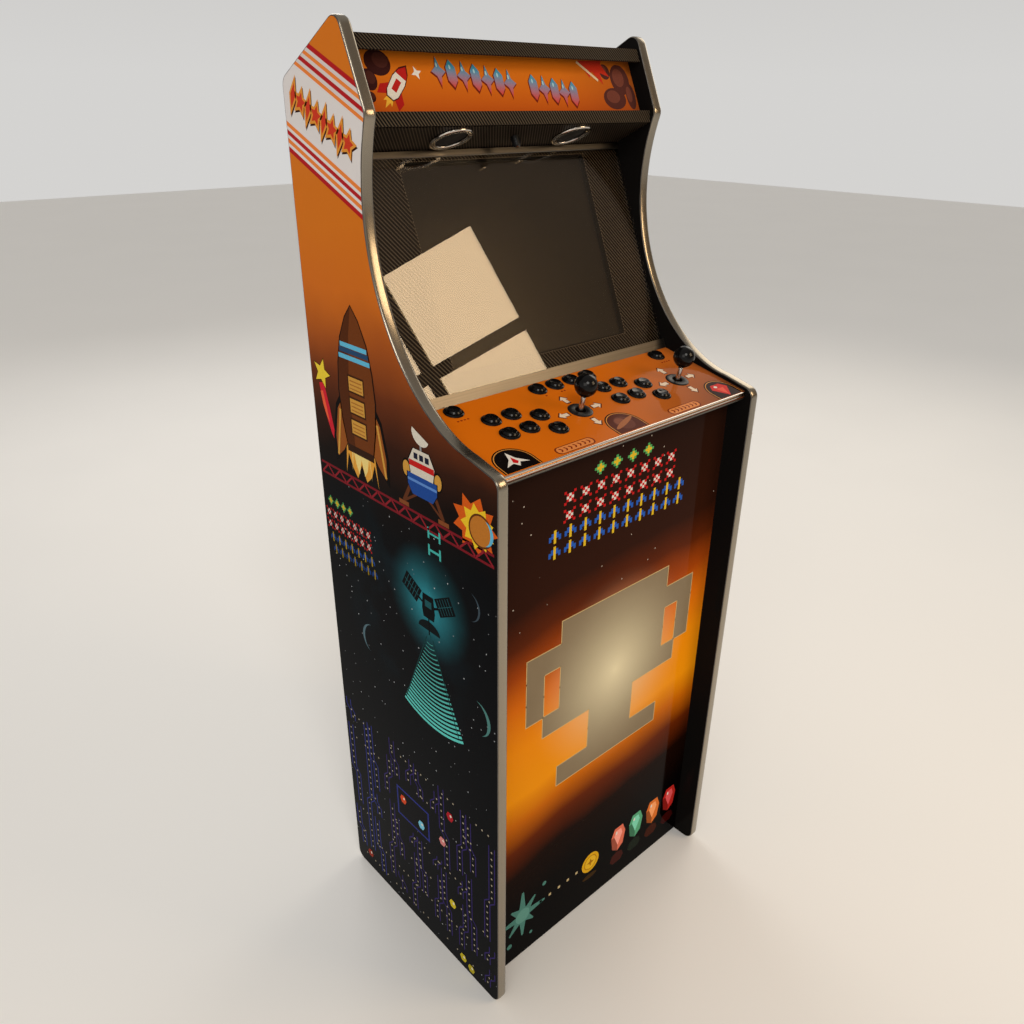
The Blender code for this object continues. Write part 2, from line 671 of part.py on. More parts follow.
def make_plungers():
    profile = [(0.0, 0.0072), (0.0070, 0.0066), (0.0104, 0.0052), (PLUNGER_RADIUS, 0.0036),
               (PLUNGER_RADIUS, -0.0085), (0.0, -0.0085)]
    names = {"left": ("side_button_left", "action_button_left", "centre_button_left"),
             "right": ("side_button_right", "action_button_right", "centre_button_right")}
    shared = None
    for side in JOYSTICKS:
        places = player_buttons(side)
        if side == "right":
            places = places[::-1]
        single, action, centre = names[side]
        labels = [single] + [action + "_%d" % (i + 1) for i in range(6)]
        labels += [centre + "_%d" % (i + 1) for i in range(2)]
        for label, (x, along) in zip(labels, places):
            plunger = turned(label, profile, BUTTON_SEGMENTS, "black_plastic")
            if shared is None:
                shared = plunger.data
            plunger.data = shared
            CONTROL.place(plunger, x, along)


def make_joystick(side, stick):
    """A lever on two crossed pivots: the yoke tips fore and aft, and the lever sideways."""
    under = -CONTROL_BOARD - GAP
    wide, long, deep = STICK_BASE
    base = box("joystick_base_" + side, (-wide / 2, -long / 2, under - deep),
               (wide / 2, long / 2, under), "matt_plastic")
    CONTROL.place(base, stick, JOYSTICK_ROW)
    well = cylinder("joystick_well", STICK_WELL, under - WELL_DEPTH, under + CUT_RISE, 16, None,
                    CUTTERS)
    CONTROL.place(well, stick, JOYSTICK_ROW)
    combine(base, "DIFFERENCE", "joystick_wells_" + side, [well])

    yoke_profile = [(YOKE_BORE, -YOKE_HALF), (YOKE_BORE, YOKE_HALF), (YOKE_RADIUS, YOKE_HALF),
                    (YOKE_RADIUS, -YOKE_HALF), (YOKE_BORE, -YOKE_HALF)]
    yoke = turned("joystick_yoke_" + side, yoke_profile, 16, "matt_plastic")
    CONTROL.place(yoke, stick, JOYSTICK_ROW, -PIVOT_DEPTH)

    reach = PIVOT_DEPTH + BALL_HEIGHT - BALL_RADIUS
    shaft_profile = [(0.0, reach - 0.0012), (0.0032, reach - 0.0012), (SHAFT_RADIUS, reach - 0.004),
                     (SHAFT_RADIUS, -0.006), (0.0062, -0.006), (0.0062, -0.016), (0.0, -0.016)]
    shaft = turned("joystick_shaft_" + side, shaft_profile, 12, "bright_metal")
    CONTROL.place(shaft, stick, JOYSTICK_ROW, -PIVOT_DEPTH)

    centre = PIVOT_DEPTH + BALL_HEIGHT
    ball = bpy.data.meshes.new("joystick_ball")
    work = bmesh.new()
    bmesh.ops.create_uvsphere(work, u_segments=14, v_segments=8, radius=BALL_RADIUS)
    bmesh.ops.translate(work, vec=(0.0, 0.0, centre), verts=work.verts)
    work.to_mesh(ball)
    work.free()
    ball.shade_smooth()
    top = add_object("joystick_ball_" + side, ball, "black_plastic", CABINET)
    CONTROL.place(top, stick, JOYSTICK_ROW, -PIVOT_DEPTH)

    washer_profile = [(WASHER_BORE, GAP), (WASHER_BORE, 0.0016), (0.0170, 0.0014),
                      (WASHER_RADIUS, 0.0008), (WASHER_RADIUS, GAP), (WASHER_BORE, GAP)]
    washer = turned("dust_washer_" + side, washer_profile, 20, "black_plastic")
    CONTROL.place(washer, stick, JOYSTICK_ROW)


def make_computer():
    floor = BASE_HEIGHT + BOARD + GAP
    wide, long, tall = COMPUTER_SIZE
    case = box("game_computer", (-wide / 2, 0.0, 0.0), (wide / 2, long, tall), "matt_plastic")
    case.location = cabinet_point(0.0, COMPUTER_DEPTH, floor)
    soften(case, 0.003)


clear_scene()
MATERIALS = make_materials()
CABINET = new_collection("arcade_cabinet")
CUTTERS = new_collection("cutters")

make_sides()
make_boards()
make_rear_panel()
make_power_inlet()
make_door()
make_hinge()
make_lock()
make_screen()
make_glass_retainer()
make_marquee()
make_speaker_panel()
make_speakers()
make_volume_knob()
make_control_panel()
make_control_trim()
make_plungers()
for player, place in JOYSTICKS.items():
    make_button_housings(player)
    make_joystick(player, place)
make_computer()
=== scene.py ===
"""Looks for the upright arcade cabinet: printed vinyl, trims, controls, lights and camera.

Everything is in the frame's metres: +X is to the right of a player who faces the cabinet, +Y
points to its back and +Z up. The art is laid out in millimetres on each panel: across and up,
where a side panel's across is its depth back from the front edge.
"""
import itertools
import math
import random

import bmesh
import bpy
from mathutils import Matrix, Vector


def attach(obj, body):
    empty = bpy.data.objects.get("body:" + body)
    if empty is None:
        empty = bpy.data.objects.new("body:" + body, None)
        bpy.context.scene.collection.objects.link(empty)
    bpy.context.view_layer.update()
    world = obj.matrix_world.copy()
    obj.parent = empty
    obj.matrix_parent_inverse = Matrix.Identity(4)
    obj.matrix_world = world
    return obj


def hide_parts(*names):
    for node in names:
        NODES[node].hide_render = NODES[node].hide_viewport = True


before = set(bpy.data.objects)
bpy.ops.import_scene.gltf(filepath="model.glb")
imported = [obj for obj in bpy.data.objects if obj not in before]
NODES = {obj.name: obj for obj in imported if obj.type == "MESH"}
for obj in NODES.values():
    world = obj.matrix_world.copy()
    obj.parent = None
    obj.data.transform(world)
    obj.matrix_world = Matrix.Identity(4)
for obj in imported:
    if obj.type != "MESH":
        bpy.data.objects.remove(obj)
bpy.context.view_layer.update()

MM = 0.001
HALF_WIDTH = 0.288
BOARD = 0.018
INNER = HALF_WIDTH - BOARD
SPAN = INNER - 0.0003
DEPTH = 0.4444
TRIM = 0.0022
GAP = 0.0003
INK_STEP = 0.00007          # thickness of one printed layer
JOYSTICKS = {"left": -0.0444, "right": 0.1864}
JOYSTICK_ROW = 0.08
SPEAKER_ROW = 0.0465
SIDES = {"left": -1, "right": 1}
BAND_SLOPE = 0.424          # of the stripes over the side panels
BAND_FOOT = 0.2492          # the depth at which the stripes' heights are given
SCREEN_LOW, SCREEN_HIGH, SCREEN_HALF = 0.0257, 0.3279, 0.1865
SCREEN_MIDDLE = (SCREEN_LOW + SCREEN_HIGH) / 2
DOOR_LOCK_UP = 0.9685


# Faces of the cabinet --------------------------------------------------------------------------
class Face:
    """A flat face: u runs across it, v up it and n out of it."""

    def __init__(self, origin, u, v, n):
        self.origin, self.u, self.v, self.n = (Vector(p) for p in (origin, u, v, n))

    def at(self, across, up, out=0.0):
        return self.origin + self.u * across + self.v * up + self.n * out

    def place(self, across=0.0, up=0.0, out=0.0):
        """The matrix that puts local X, Y and Z along u, v and n."""
        turn = Matrix((self.u, self.v, self.n)).transposed().to_4x4()
        return Matrix.Translation(self.at(across, up, out)) @ turn


def cabinet_point(x, depth, height):
    return Vector((x, depth - DEPTH / 2, height + TRIM))


def sloped(depth, height, degrees):
    """A face that spans the cabinet and rises back from a place on its side profile."""
    angle = math.radians(degrees)
    cos, sin = math.cos(angle), math.sin(angle)
    return Face(cabinet_point(0, depth, height), (1, 0, 0), (0, cos, sin), (0, -sin, cos))


CONTROL = sloped(0.0124, 1.0144, 12.7)
BEZEL = sloped(0.1988, 1.0639, 67.0)
SPEAKER_ORIGIN = BEZEL.at(0, 0.3415)
SPEAKERS = sloped(SPEAKER_ORIGIN.y + DEPTH / 2, SPEAKER_ORIGIN.z - TRIM, 154.8)
MARQUEE = sloped(0.2798, 1.432, 65.5)
TOP = sloped(0.326, 1.5095, -27.0)
FRONT = sloped(0.042, 0.0, 90.0)
SIDE = {side: Face(cabinet_point(sign * HALF_WIDTH, 0, 0), (0, 1, 0), (0, 0, 1), (sign, 0, 0))
        for side, sign in SIDES.items()}
REAR = Face(cabinet_point(0, 0.432, 0), (-1, 0, 0), (0, 0, 1), (0, 1, 0))
SECTION = Face((0, 0, 0), (0, 1, 0), (0, 0, 1), (1, 0, 0))


def ink(red, green, blue):
    """A printed colour, from 0 to 255, as linear light."""
    channels = []
    for value in (red / 255, green / 255, blue / 255):
        channels.append(value / 12.92 if value <= 0.04045 else ((value + 0.055) / 1.055) ** 2.4)
    return (*channels, 1.0)


def dimmed(colour, share):
    return tuple(c * share for c in colour[:3]) + (1.0,)


# Material nodes -------------------------------------------------------------------------------
class Value:
    """A number or colour that nodes work out, and that can take part in sums."""

    def __init__(self, nodes, socket):
        self.nodes = nodes
        self.socket = socket

    def out(self, key):
        return Value(self.nodes, self.socket.node.outputs[key])

    def __add__(self, other):
        return self.nodes.math("ADD", self, other)

    def __sub__(self, other):
        return self.nodes.math("SUBTRACT", self, other)

    def __mul__(self, other):
        return self.nodes.math("MULTIPLY", self, other)

    def __lt__(self, other):
        return self.nodes.math("LESS_THAN", self, other)


class Nodes:
    """A node tree, and short calls for the nodes that it needs."""

    def __init__(self, tree, coords="Object"):
        self.tree = tree
        self.coords = self.add("TexCoord", out=coords)

    def feed(self, socket, value):
        if isinstance(value, Value):
            self.tree.links.new(value.socket, socket)
        else:
            socket.default_value = value

    def add(self, kind, *values, settings=(), out=0, **inputs):
        """One node: values feed its first inputs in order, and inputs feed the ones they name."""
        node = self.tree.nodes.new("ShaderNode" + kind)
        for key, value in dict(settings).items():
            setattr(node, key, value)
        for socket, value in zip(node.inputs, values):
            self.feed(socket, value)
        for key, value in inputs.items():
            self.feed(node.inputs[key], value)
        return Value(self, node.outputs[out])

    def xyz(self):
        first = self.add("SeparateXYZ", self.coords)
        return [first.out(i) for i in range(3)]

    def math(self, operation, *values, clamp=False):
        return self.add("Math", *values, settings={"operation": operation, "use_clamp": clamp})

    def spread(self, value, low, high, to_low=0.0, to_high=1.0):
        return self.add("MapRange", value, low, high, to_low, to_high)

    def scaled(self, x, y, z):
        return self.add("Mapping", self.coords, Scale=(x, y, z))

    def noise(self, scale, detail=3.0, vector=None, roughness=0.5):
        return self.add("TexNoise", vector or self.coords, out="Fac", Scale=scale, Detail=detail,
                        Roughness=roughness)

    def grain(self, scale, detail, to_low=0.0, to_high=1.0, low=0.3, high=0.7):
        """Noise, spread from its usual range to another."""
        return self.spread(self.noise(scale, detail), low, high, to_low, to_high)

    def ramp(self, value, stops, steps=False, high=None):
        """A colour for a value: stops hold (value, colour) from low to high."""
        low, high = stops[0][0], high or stops[-1][0]
        colour = self.add("ValToRGB", self.spread(value, low, high))
        band = colour.socket.node.color_ramp
        band.interpolation = "CONSTANT" if steps else "LINEAR"
        while len(band.elements) > 1:
            band.elements.remove(band.elements[0])
        band.elements[0].position = 0.0
        band.elements[0].color = stops[0][1]
        for place, tint in stops[1:]:
            band.elements.new((place - low) / (high - low)).color = tint
        return colour

    def mix(self, share, first, second):
        mixed = self.add("Mix", settings={"data_type": "RGBA"}, out=2)
        for i, value in ((0, share), (6, first), (7, second)):
            self.feed(mixed.socket.node.inputs[i], value)
        return mixed

    def stars(self, scale, size, share):
        """1 in small round dots, on a share of the cells of a grid with this many a metre."""
        cell = self.add("TexVoronoi", self.coords, out="Distance", Scale=scale)
        red = self.add("SeparateColor", cell.out("Color"))
        return (cell < size) * (red < share) * red.out(1)

    def glow(self, first, second, centre, radius):
        """1 at a place on a panel, falling to 0 at a radius from it."""
        a, b = first - centre[0], second - centre[1]
        far = self.math("DIVIDE", self.math("SQRT", a * a + b * b), radius)
        return self.math("POWER", self.math("SUBTRACT", 1.0, far, clamp=True), 1.7)


class Shader(Nodes):
    """A material with one Principled shader."""

    def __init__(self, name, **sockets):
        self.mat = bpy.data.materials.new(name)
        self.mat.use_nodes = True
        super().__init__(self.mat.node_tree)
        self.bsdf = self.tree.nodes["Principled BSDF"]
        for key, value in sockets.items():
            self.use(key.replace("_", " "), value)

    def use(self, key, value):
        self.feed(self.bsdf.inputs[key], value)

    def bump(self, height, strength, distance=0.0002):
        self.use("Normal", self.add("Bump", Strength=strength, Distance=distance, Height=height))

    def rough(self, low, high, scale, detail=4.0):
        """Roughness that varies a little over the surface."""
        self.use("Roughness", self.grain(scale, detail, low, high))

    def coloured(self, colour):
        self.use("Base Color", colour)
        return self.mat


def vinyl(name):
    """Smooth laminated print: a faint orange peel, and small marks in its gloss."""
    shader = Shader(name, IOR=1.2, Specular_IOR_Level=0.07)
    shader.rough(0.04, 0.1, 14.0)
    shader.bump(shader.noise(260.0, 2.0), 0.04)
    return shader


def side_material():
    """Stripes over an orange that fades to a starry black, with a teal haze."""
    orange, pale, white = ink(210, 115, 31), ink(214, 204, 200), ink(222, 216, 214)
    red, line = ink(176, 28, 32), ink(232, 130, 58)
    shader = vinyl("side_vinyl")
    x, y, z = shader.xyz()
    depth = y + DEPTH / 2
    slant = (z - depth * BAND_SLOPE) + (BAND_FOOT * BAND_SLOPE - TRIM)
    stripes = shader.ramp(slant, [
        (1.28, orange), (1.2955, red), (1.302, white), (1.307, line), (1.313, white),
        (1.318, red), (1.324, white), (1.329, line), (1.335, white), (1.419, line),
        (1.424, pale), (1.43, red), (1.436, pale), (1.441, line), (1.447, pale), (1.452, red),
        (1.459, orange)], steps=True, high=1.48)
    fade = shader.ramp(z + shader.grain(5.0, 3.0, -0.02, 0.02), [
        (0.86, ink(9, 10, 13)), (0.93, ink(22, 14, 11)), (0.99, ink(52, 27, 17)),
        (1.06, ink(104, 50, 24)), (1.13, ink(160, 80, 30)), (1.21, ink(205, 108, 32)),
        (1.3, orange)])
    art = shader.mix(slant < 1.2955, stripes, fade)
    haze = shader.noise(9.0, 5.0)
    teal = shader.glow(depth, z, (0.158, 0.764), 0.104)
    art = shader.mix(teal * shader.spread(haze, 0.2, 0.7, 0.5, 1.3), art, ink(50, 150, 164))
    mist = shader.glow(depth, z, (0.22, 0.72), 0.26)
    art = shader.mix(mist * shader.spread(haze, 0.45, 0.8, 0.0, 0.45), art, ink(30, 70, 84))
    art = shader.mix(shader.stars(62.0, 0.075, 0.34) * (z < 0.89), art, ink(196, 200, 204))
    inside = shader.math("ABSOLUTE", x) < INNER + 0.002
    return shader.coloured(shader.mix(inside, art, ink(20, 18, 17)))


def front_glow(shader, art):
    x, _, z = shader.xyz()
    centre = shader.glow(x, z, (0.022, 0.556), 0.205)
    return shader.mix(centre * 0.86, art, ink(240, 228, 190))


def board_behind(shader, art, face):
    """The print covers only the board's face: its edges, back and holes are dark board."""
    _, y, z = shader.xyz()
    behind = (y * face.n.y + z * face.n.z) < face.n.dot(face.origin) - 0.0006
    return shader.mix(behind, art, shader.mix(shader.noise(60.0), ink(26, 20, 16), ink(40, 31, 25)))


def front_material():
    shader = vinyl("front_vinyl")
    x, _, z = shader.xyz()
    art = shader.ramp((z - x * 0.09) + shader.grain(4.0, 2.0, -0.015, 0.015), [
        (0.15, ink(5, 3, 3)), (0.24, ink(24, 8, 3)), (0.3, ink(96, 36, 5)),
        (0.36, ink(196, 102, 8)), (0.42, ink(238, 148, 14)), (0.53, ink(236, 140, 14)),
        (0.61, ink(214, 108, 16)), (0.67, ink(160, 68, 14)), (0.73, ink(88, 36, 12)),
        (0.79, ink(48, 22, 12)), (0.95, ink(38, 20, 13))])
    dots = shader.stars(58.0, 0.075, 0.3) * shader.spread(z, 0.6, 0.72)
    art = shader.mix(dots, front_glow(shader, art), ink(235, 222, 205))
    return shader.coloured(board_behind(shader, art, FRONT))


def cup_material():
    """The flat grey of the big block cup, lit by the same printed glow."""
    shader = vinyl("figure_ink")
    grey = shader.mix(shader.grain(30.0, 2.0, 0.0, 0.12), ink(132, 116, 92), ink(150, 134, 108))
    return shader.coloured(front_glow(shader, grey))


def control_material():
    shader = vinyl("control_vinyl")
    x, y, _ = shader.xyz()
    front = (x + y * -1.6) + shader.grain(5.0, 2.0, -0.03, 0.03)
    art = shader.ramp(front, [
        (-0.25, ink(222, 112, 14)), (0.16, ink(214, 108, 18)), (0.36, ink(190, 100, 34)),
        (0.5, ink(150, 80, 38)), (0.62, ink(106, 56, 36))])
    return shader.coloured(board_behind(shader, art, CONTROL))


def marquee_material():
    shader = vinyl("marquee_print")
    x, _, z = shader.xyz()
    art = shader.mix(shader.spread(z, 1.434, 1.512), ink(190, 86, 24), ink(218, 122, 28))
    return shader.coloured(shader.mix(shader.spread(x, 0.1, 0.27) * 0.6, art, ink(132, 62, 30)))


def print_material():
    """Ink of many colours, from the piece's own paint, with a fine printed dot screen."""
    shader = vinyl("printed_ink")
    paint = shader.add("Attribute", settings={"attribute_name": "ink"}, out="Color")
    speck = shader.grain(500.0, 1.0, 0.0, 0.1, 0.35, 0.65)
    return shader.coloured(shader.mix(speck, paint, ink(24, 16, 12)))


def carbon_material(name, face, pitch, thread_ink, covers_board=False):
    """Black vinyl with a woven look: slanted bright ribs that cross a finer thread."""
    shader = Shader("carbon_vinyl_" + name, IOR=1.25, Specular_IOR_Level=0.15)
    x, y, z = shader.xyz()
    up = y * face.v.y + z * face.v.z
    rib = shader.spread(shader.math("SINE", (x + up * 0.78) * (math.tau / pitch)), 0.15, 0.95)
    thread = shader.math("SINE", up * (math.tau / 0.0013))
    weave = rib * shader.spread(thread, -1.0, 1.0, 0.55, 1.0)
    shade = shader.grain(7.0, 2.0, 0.75, 1.0)
    colour = shader.mix(weave * shade, ink(11, 9, 8), thread_ink)
    shader.use("Roughness", shader.spread(weave, 0.0, 1.0, 0.48, 0.3))
    shader.bump(weave, 0.25, 0.0003)
    return shader.coloured(board_behind(shader, colour, face) if covers_board else colour)


def metal(name, colour, low, high, stretch, strength=0.06, shade=0.72):
    """Metal with fine lines: stretch is how much finer it is along each axis."""
    shader = Shader(name, Metallic=1.0)
    lines = shader.noise(60.0, 4.0, shader.scaled(*stretch), 0.6)
    shader.use("Roughness", shader.spread(lines, 0.3, 0.7, low, high))
    shader.bump(lines, strength)
    return shader.coloured(shader.mix(shader.spread(lines, 0.25, 0.75), dimmed(colour, shade),
                                      colour))


def plastic(name, colour, low, high, grain=0.0):
    shader = Shader(name, IOR=1.3, Specular_IOR_Level=0.5)
    lighter = tuple(min(1.0, c * 1.4 + 0.001) for c in colour[:3]) + (1.0,)
    shader.rough(low, high, 55.0)
    if grain:
        shader.bump(shader.noise(1400.0, 2.0), grain)
    return shader.coloured(shader.mix(shader.grain(22.0, 3.0, low=0.35, high=0.75), colour,
                                      lighter))


def board_material(name, colour, second, low, high):
    """Laminate or fibreboard: fibres and a little wear."""
    shader = Shader(name)
    fibre = shader.noise(90.0, 6.0, shader.scaled(1.0, 1.0, 0.25), 0.65)
    mixed = fibre * 0.7 + shader.noise(4.0, 3.0) * 0.3
    shader.use("Roughness", shader.spread(fibre, 0.3, 0.7, low, high))
    shader.bump(fibre, 0.1, 0.0003)
    return shader.coloured(shader.mix(shader.spread(mixed, 0.35, 0.68), colour, second))


def glass_material():
    """Dark glass: a smoked pane that shows the bezel behind it and mirrors the room."""
    shader = Shader("smoked_glass", IOR=2.4, Specular_IOR_Level=0.8, Roughness=0.0)
    shader.coloured(shader.mix(shader.noise(3.0, 2.0), ink(12, 11, 10), ink(18, 16, 14)))
    clear = shader.add("BsdfTransparent", (0.9, 0.86, 0.8, 1.0))
    blend = shader.add("MixShader", 0.22, clear, Value(shader, shader.bsdf.outputs[0]))
    shader.feed(shader.tree.nodes["Material Output"].inputs["Surface"], blend)
    return shader.mat


def cut_edge_material():
    """The vinyl's cut edge, where pale threads end in a row of dots."""
    shader = Shader("vinyl_cut_edge", Specular_IOR_Level=0.3, Roughness=0.5)
    x, _, z = shader.xyz()
    dots = shader.math("SINE", (x + z) * (math.tau / 0.0042))
    return shader.coloured(shader.mix(shader.spread(dots, -0.2, 0.3), ink(34, 28, 24),
                                      ink(190, 172, 146)))


def mottled(name, scale, first, second, gloss=None, **sockets):
    """A surface that drifts between two colours, and between two shares of roughness."""
    shader = Shader(name, **sockets)
    if gloss:
        shader.rough(*gloss)
    return shader.coloured(shader.mix(shader.noise(scale), ink(*first), ink(*second)))


EVEN = (1.0, 1.0, 1.0)
SMOOTH = (0.2, 0.2, 0.2)
SIDE_VINYL = side_material()
FRONT_VINYL = front_material()
CUP_INK = cup_material()
CONTROL_VINYL = control_material()
MARQUEE_PRINT = marquee_material()
PRINTED_INK = print_material()
CARBON_MARQUEE = carbon_material("marquee", MARQUEE, 0.0052, ink(104, 90, 72))
# Painted light: the bezel's threads are inked brighter than the other carbon vinyl, to make up for
# the shade behind the glass
CARBON_BEZEL_LIGHTENED = carbon_material("bezel", BEZEL, 0.0066, ink(164, 147, 124), True)
CARBON_SPEAKER = carbon_material("speaker", SPEAKERS, 0.0052, ink(84, 72, 58))
TRIM_METAL = metal("satin_trim", ink(160, 151, 136), 0.2, 0.27, SMOOTH, 0.0, 0.92)
# Painted shade: the lips' darker, rougher copy of the trim metal stands in for the dark line at the
# trim's rounded edges
TRIM_LIP_SHADE = metal("trim_lip_painted_shade", ink(112, 108, 104), 0.35, 0.5, EVEN)
STRIP_METAL = metal("strip_aluminium", ink(122, 115, 105), 0.3, 0.4, (0.04, 8.0, 8.0))
CHROME = metal("polished_chrome", ink(214, 206, 196), 0.1, 0.15, SMOOTH, 0.0, 0.9)
STEEL = metal("polished_steel", ink(208, 204, 198), 0.1, 0.22, (1.0, 1.0, 6.0), 0.02)
ZINC = metal("zinc_plate", ink(170, 168, 160), 0.3, 0.5, EVEN)
BRASS = metal("warm_brass", ink(214, 150, 78), 0.14, 0.26, (0.05, 6.0, 6.0), 0.02)
GLOSS_BLACK = plastic("gloss_black", ink(9, 8, 8), 0.05, 0.11)
SATIN_BLACK = plastic("satin_black", ink(20, 19, 19), 0.28, 0.42, 0.03)
MATT_BLACK = plastic("matt_black", ink(30, 29, 28), 0.45, 0.65, 0.15)
BROWN_LINE = plastic("brown_line", ink(120, 58, 26), 0.2, 0.35)
WHITE_PLASTIC = plastic("white_plastic", ink(214, 210, 200), 0.3, 0.5)
GREEN_WIRE = plastic("wire_green", ink(40, 104, 58), 0.4, 0.55)
CONE_BLACK = plastic("paper_cone", ink(38, 36, 34), 0.6, 0.85, 0.3)
BLACK_BOARD = board_material("black_laminate", ink(22, 20, 19), ink(34, 31, 29), 0.35, 0.55)
RAW_BOARD = board_material("fibreboard", ink(148, 112, 78), ink(176, 138, 98), 0.7, 0.85)
SMOKED_GLASS = glass_material()
CUT_EDGE = cut_edge_material()
FROSTED = mottled("frosted_tube", 30.0, (226, 224, 214), (200, 196, 184), Roughness=0.5,
                  Transmission_Weight=0.2)
DISPLAY = mottled("display_panel", 3.0, (30, 26, 23), (38, 33, 29), (0.28, 0.36, 8.0),
                  Coat_Weight=0.3, Coat_Roughness=0.2)
FLOOR = mottled("pale_floor", 1.5, (240, 239, 237), (244, 243, 241), (0.55, 0.7, 3.0))


# Solids ---------------------------------------------------------------------------------------
def rectangle(left, low, right, high):
    return [(left, low), (right, low), (right, high), (left, high)]


def centred(across, up, wide, tall):
    """A rectangle round its middle, by half its width and half its height."""
    return rectangle(across - wide, up - tall, across + wide, up + tall)


def ends_and_sides(count):
    """The faces of an outline with this many corners that is drawn out into a solid."""
    sides = [(i, (i + 1) % count, count + (i + 1) % count, count + i) for i in range(count)]
    return [tuple(range(count))[::-1], tuple(range(count, 2 * count)), *sides]


def skin(rings, count, closed):
    """The faces between rings with this many corners each."""
    faces = []
    for i in range(rings if closed else rings - 1):
        a, b = i * count, (i + 1) % rings * count
        faces += [(a + k, a + (k + 1) % count, b + (k + 1) % count, b + k) for k in range(count)]
    return faces


def linked(name, data):
    obj = bpy.data.objects.new(name, data)
    bpy.context.scene.collection.objects.link(obj)
    return obj


class Solid:
    """Collects closed shapes, each with a material, into one piece."""

    def __init__(self):
        self.verts, self.faces, self.slots, self.paint, self.materials = [], [], [], [], []

    def add(self, verts, faces, mat):
        if mat not in self.materials:
            self.materials.append(mat)
        start = len(self.verts)
        self.verts += [tuple(v) for v in verts]
        self.faces += [tuple(start + i for i in face) for face in faces]
        self.slots += [self.materials.index(mat)] * len(faces)
        return self

    def turned(self, profile, place, mat, segments=48, closed=False):
        """A turned shape about place's Z: profile holds (radius, height), down its outside."""
        verts, rings, faces = [], [], []
        for radius, height in profile:
            start = len(verts)
            for i in range(1 if radius < 1e-6 else segments):
                angle = math.tau * i / segments
                flat = (radius * math.cos(angle), radius * math.sin(angle))
                verts.append(place @ Vector((*flat, height)))
            rings.append(range(start, len(verts)))
        for upper, lower in zip(rings, rings[1:] + (rings[:1] if closed else [])):
            for i in range(segments):
                j = (i + 1) % segments
                corners = (upper[i % len(upper)], lower[i % len(lower)],
                           lower[j % len(lower)], upper[j % len(upper)])
                faces.append(tuple(dict.fromkeys(corners)))
        return self.add(verts, [face for face in faces if len(face) > 2], mat)

    def prism(self, outline, place, low, high, mat):
        """An outline in place's XY plane, drawn out along its Z from low to high."""
        verts = [place @ Vector((a, b, h)) for h in (low, high) for a, b in outline]
        return self.add(verts, ends_and_sides(len(outline)), mat)

    def box(self, low, high, place, mat):
        return self.prism(rectangle(*low[:2], *high[:2]), place, low[2], high[2], mat)

    def loop(self, section, path, mat):
        """A closed section carried round a closed path: path.at(i, a, b) is (a, b) at stop i."""
        verts = [path.at(i, a, b) for i in range(path.stops) for a, b in section]
        return self.add(verts, skin(path.stops, len(section), True), mat)

    def tube(self, points, radius, mat, segments=10):
        """A round wire along a smooth run of points."""
        verts, side = [], None
        for i, point in enumerate(points):
            ahead = (points[min(i + 1, len(points) - 1)] - points[max(i - 1, 0)]).normalized()
            if side is None:
                side = ahead.orthogonal().normalized()
            side = (side - ahead * side.dot(ahead)).normalized()
            other = ahead.cross(side)
            for k in range(segments):
                angle = math.tau * k / segments
                verts.append(point + (side * math.cos(angle) + other * math.sin(angle)) * radius)
        ends = [tuple(range(segments))[::-1], tuple(range(len(verts) - segments, len(verts)))]
        return self.add(verts, skin(len(points), segments, False) + ends, mat)

    def make(self, name, slot, smooth, replaces=(), body="cabinet", bevel=0.0):
        mesh = bpy.data.meshes.new(name)
        mesh.from_pydata(self.verts, [], self.faces)
        for mat in self.materials:
            mesh.materials.append(mat)
        mesh.polygons.foreach_set("material_index", self.slots)
        if self.paint:
            layer = mesh.color_attributes.new("ink", "FLOAT_COLOR", "CORNER")
            layer.data.foreach_set("color", self.paint)
        work = bmesh.new()
        work.from_mesh(mesh)
        bmesh.ops.recalc_face_normals(work, faces=work.faces)
        work.to_mesh(mesh)
        work.free()
        if smooth:
            mesh.shade_smooth()
            mesh.set_sharp_from_angle(angle=math.radians(smooth))
        obj = linked(name, mesh)
        if bevel:
            soften(obj, bevel)
        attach(obj, body)
        if replaces:
            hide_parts(*replaces)


def soften(obj, width):
    bevel = obj.modifiers.new("soften", "BEVEL")
    bevel.width = width
    bevel.segments = 2
    bevel.limit_method = "ANGLE"
    bevel.angle_limit = math.radians(40)
    bevel.harden_normals = True


# Printed shapes -------------------------------------------------------------------------------
class Print(Solid):
    """Flat printed shapes on a face, in millimetres, each a thin layer over the one below."""

    def __init__(self, face):
        super().__init__()
        self.face = face
        self.at()

    def at(self, across=0, up=0, size=1.0, angle=0.0):
        """The place, size and lean of the shapes that follow."""
        self.spot = (across, up, size, angle)

    def shape(self, outline, colour, layer=1, mat=PRINTED_INK):
        """colour is one ink, or a function of a place across and up that gives one."""
        outline = moved(outline, *self.spot)
        heights = (INK_STEP * (layer - 0.5), INK_STEP * (layer + 0.4))
        faces = ends_and_sides(len(outline))
        verts = [self.face.at(a * MM, b * MM, h) for h in heights for a, b in outline]
        self.add(verts, faces, mat)
        inks = [colour(a, b) if callable(colour) else colour for a, b in outline] * 2
        self.paint += [channel for face in faces for i in face for channel in inks[i]]

    def rows(self, name, left, low, wide, tall, tint, layer=1, grow=0.0, mat=PRINTED_INK):
        """A block shape, drawn row by row in runs of one letter; wide and tall are a block's."""
        for r, row in enumerate(BLOCKS[name]):
            high, start = low + (len(BLOCKS[name]) - r) * tall, 0
            for letter, run in itertools.groupby(row):
                end = start + len(list(run))
                if letter != ".":
                    self.shape(rectangle(left + start * wide - grow, high - tall - grow,
                                         left + end * wide + grow, high + grow),
                               tint(letter), layer, mat)
                start = end

    def finish(self, name, slot):
        self.make(name, slot, 0.0)


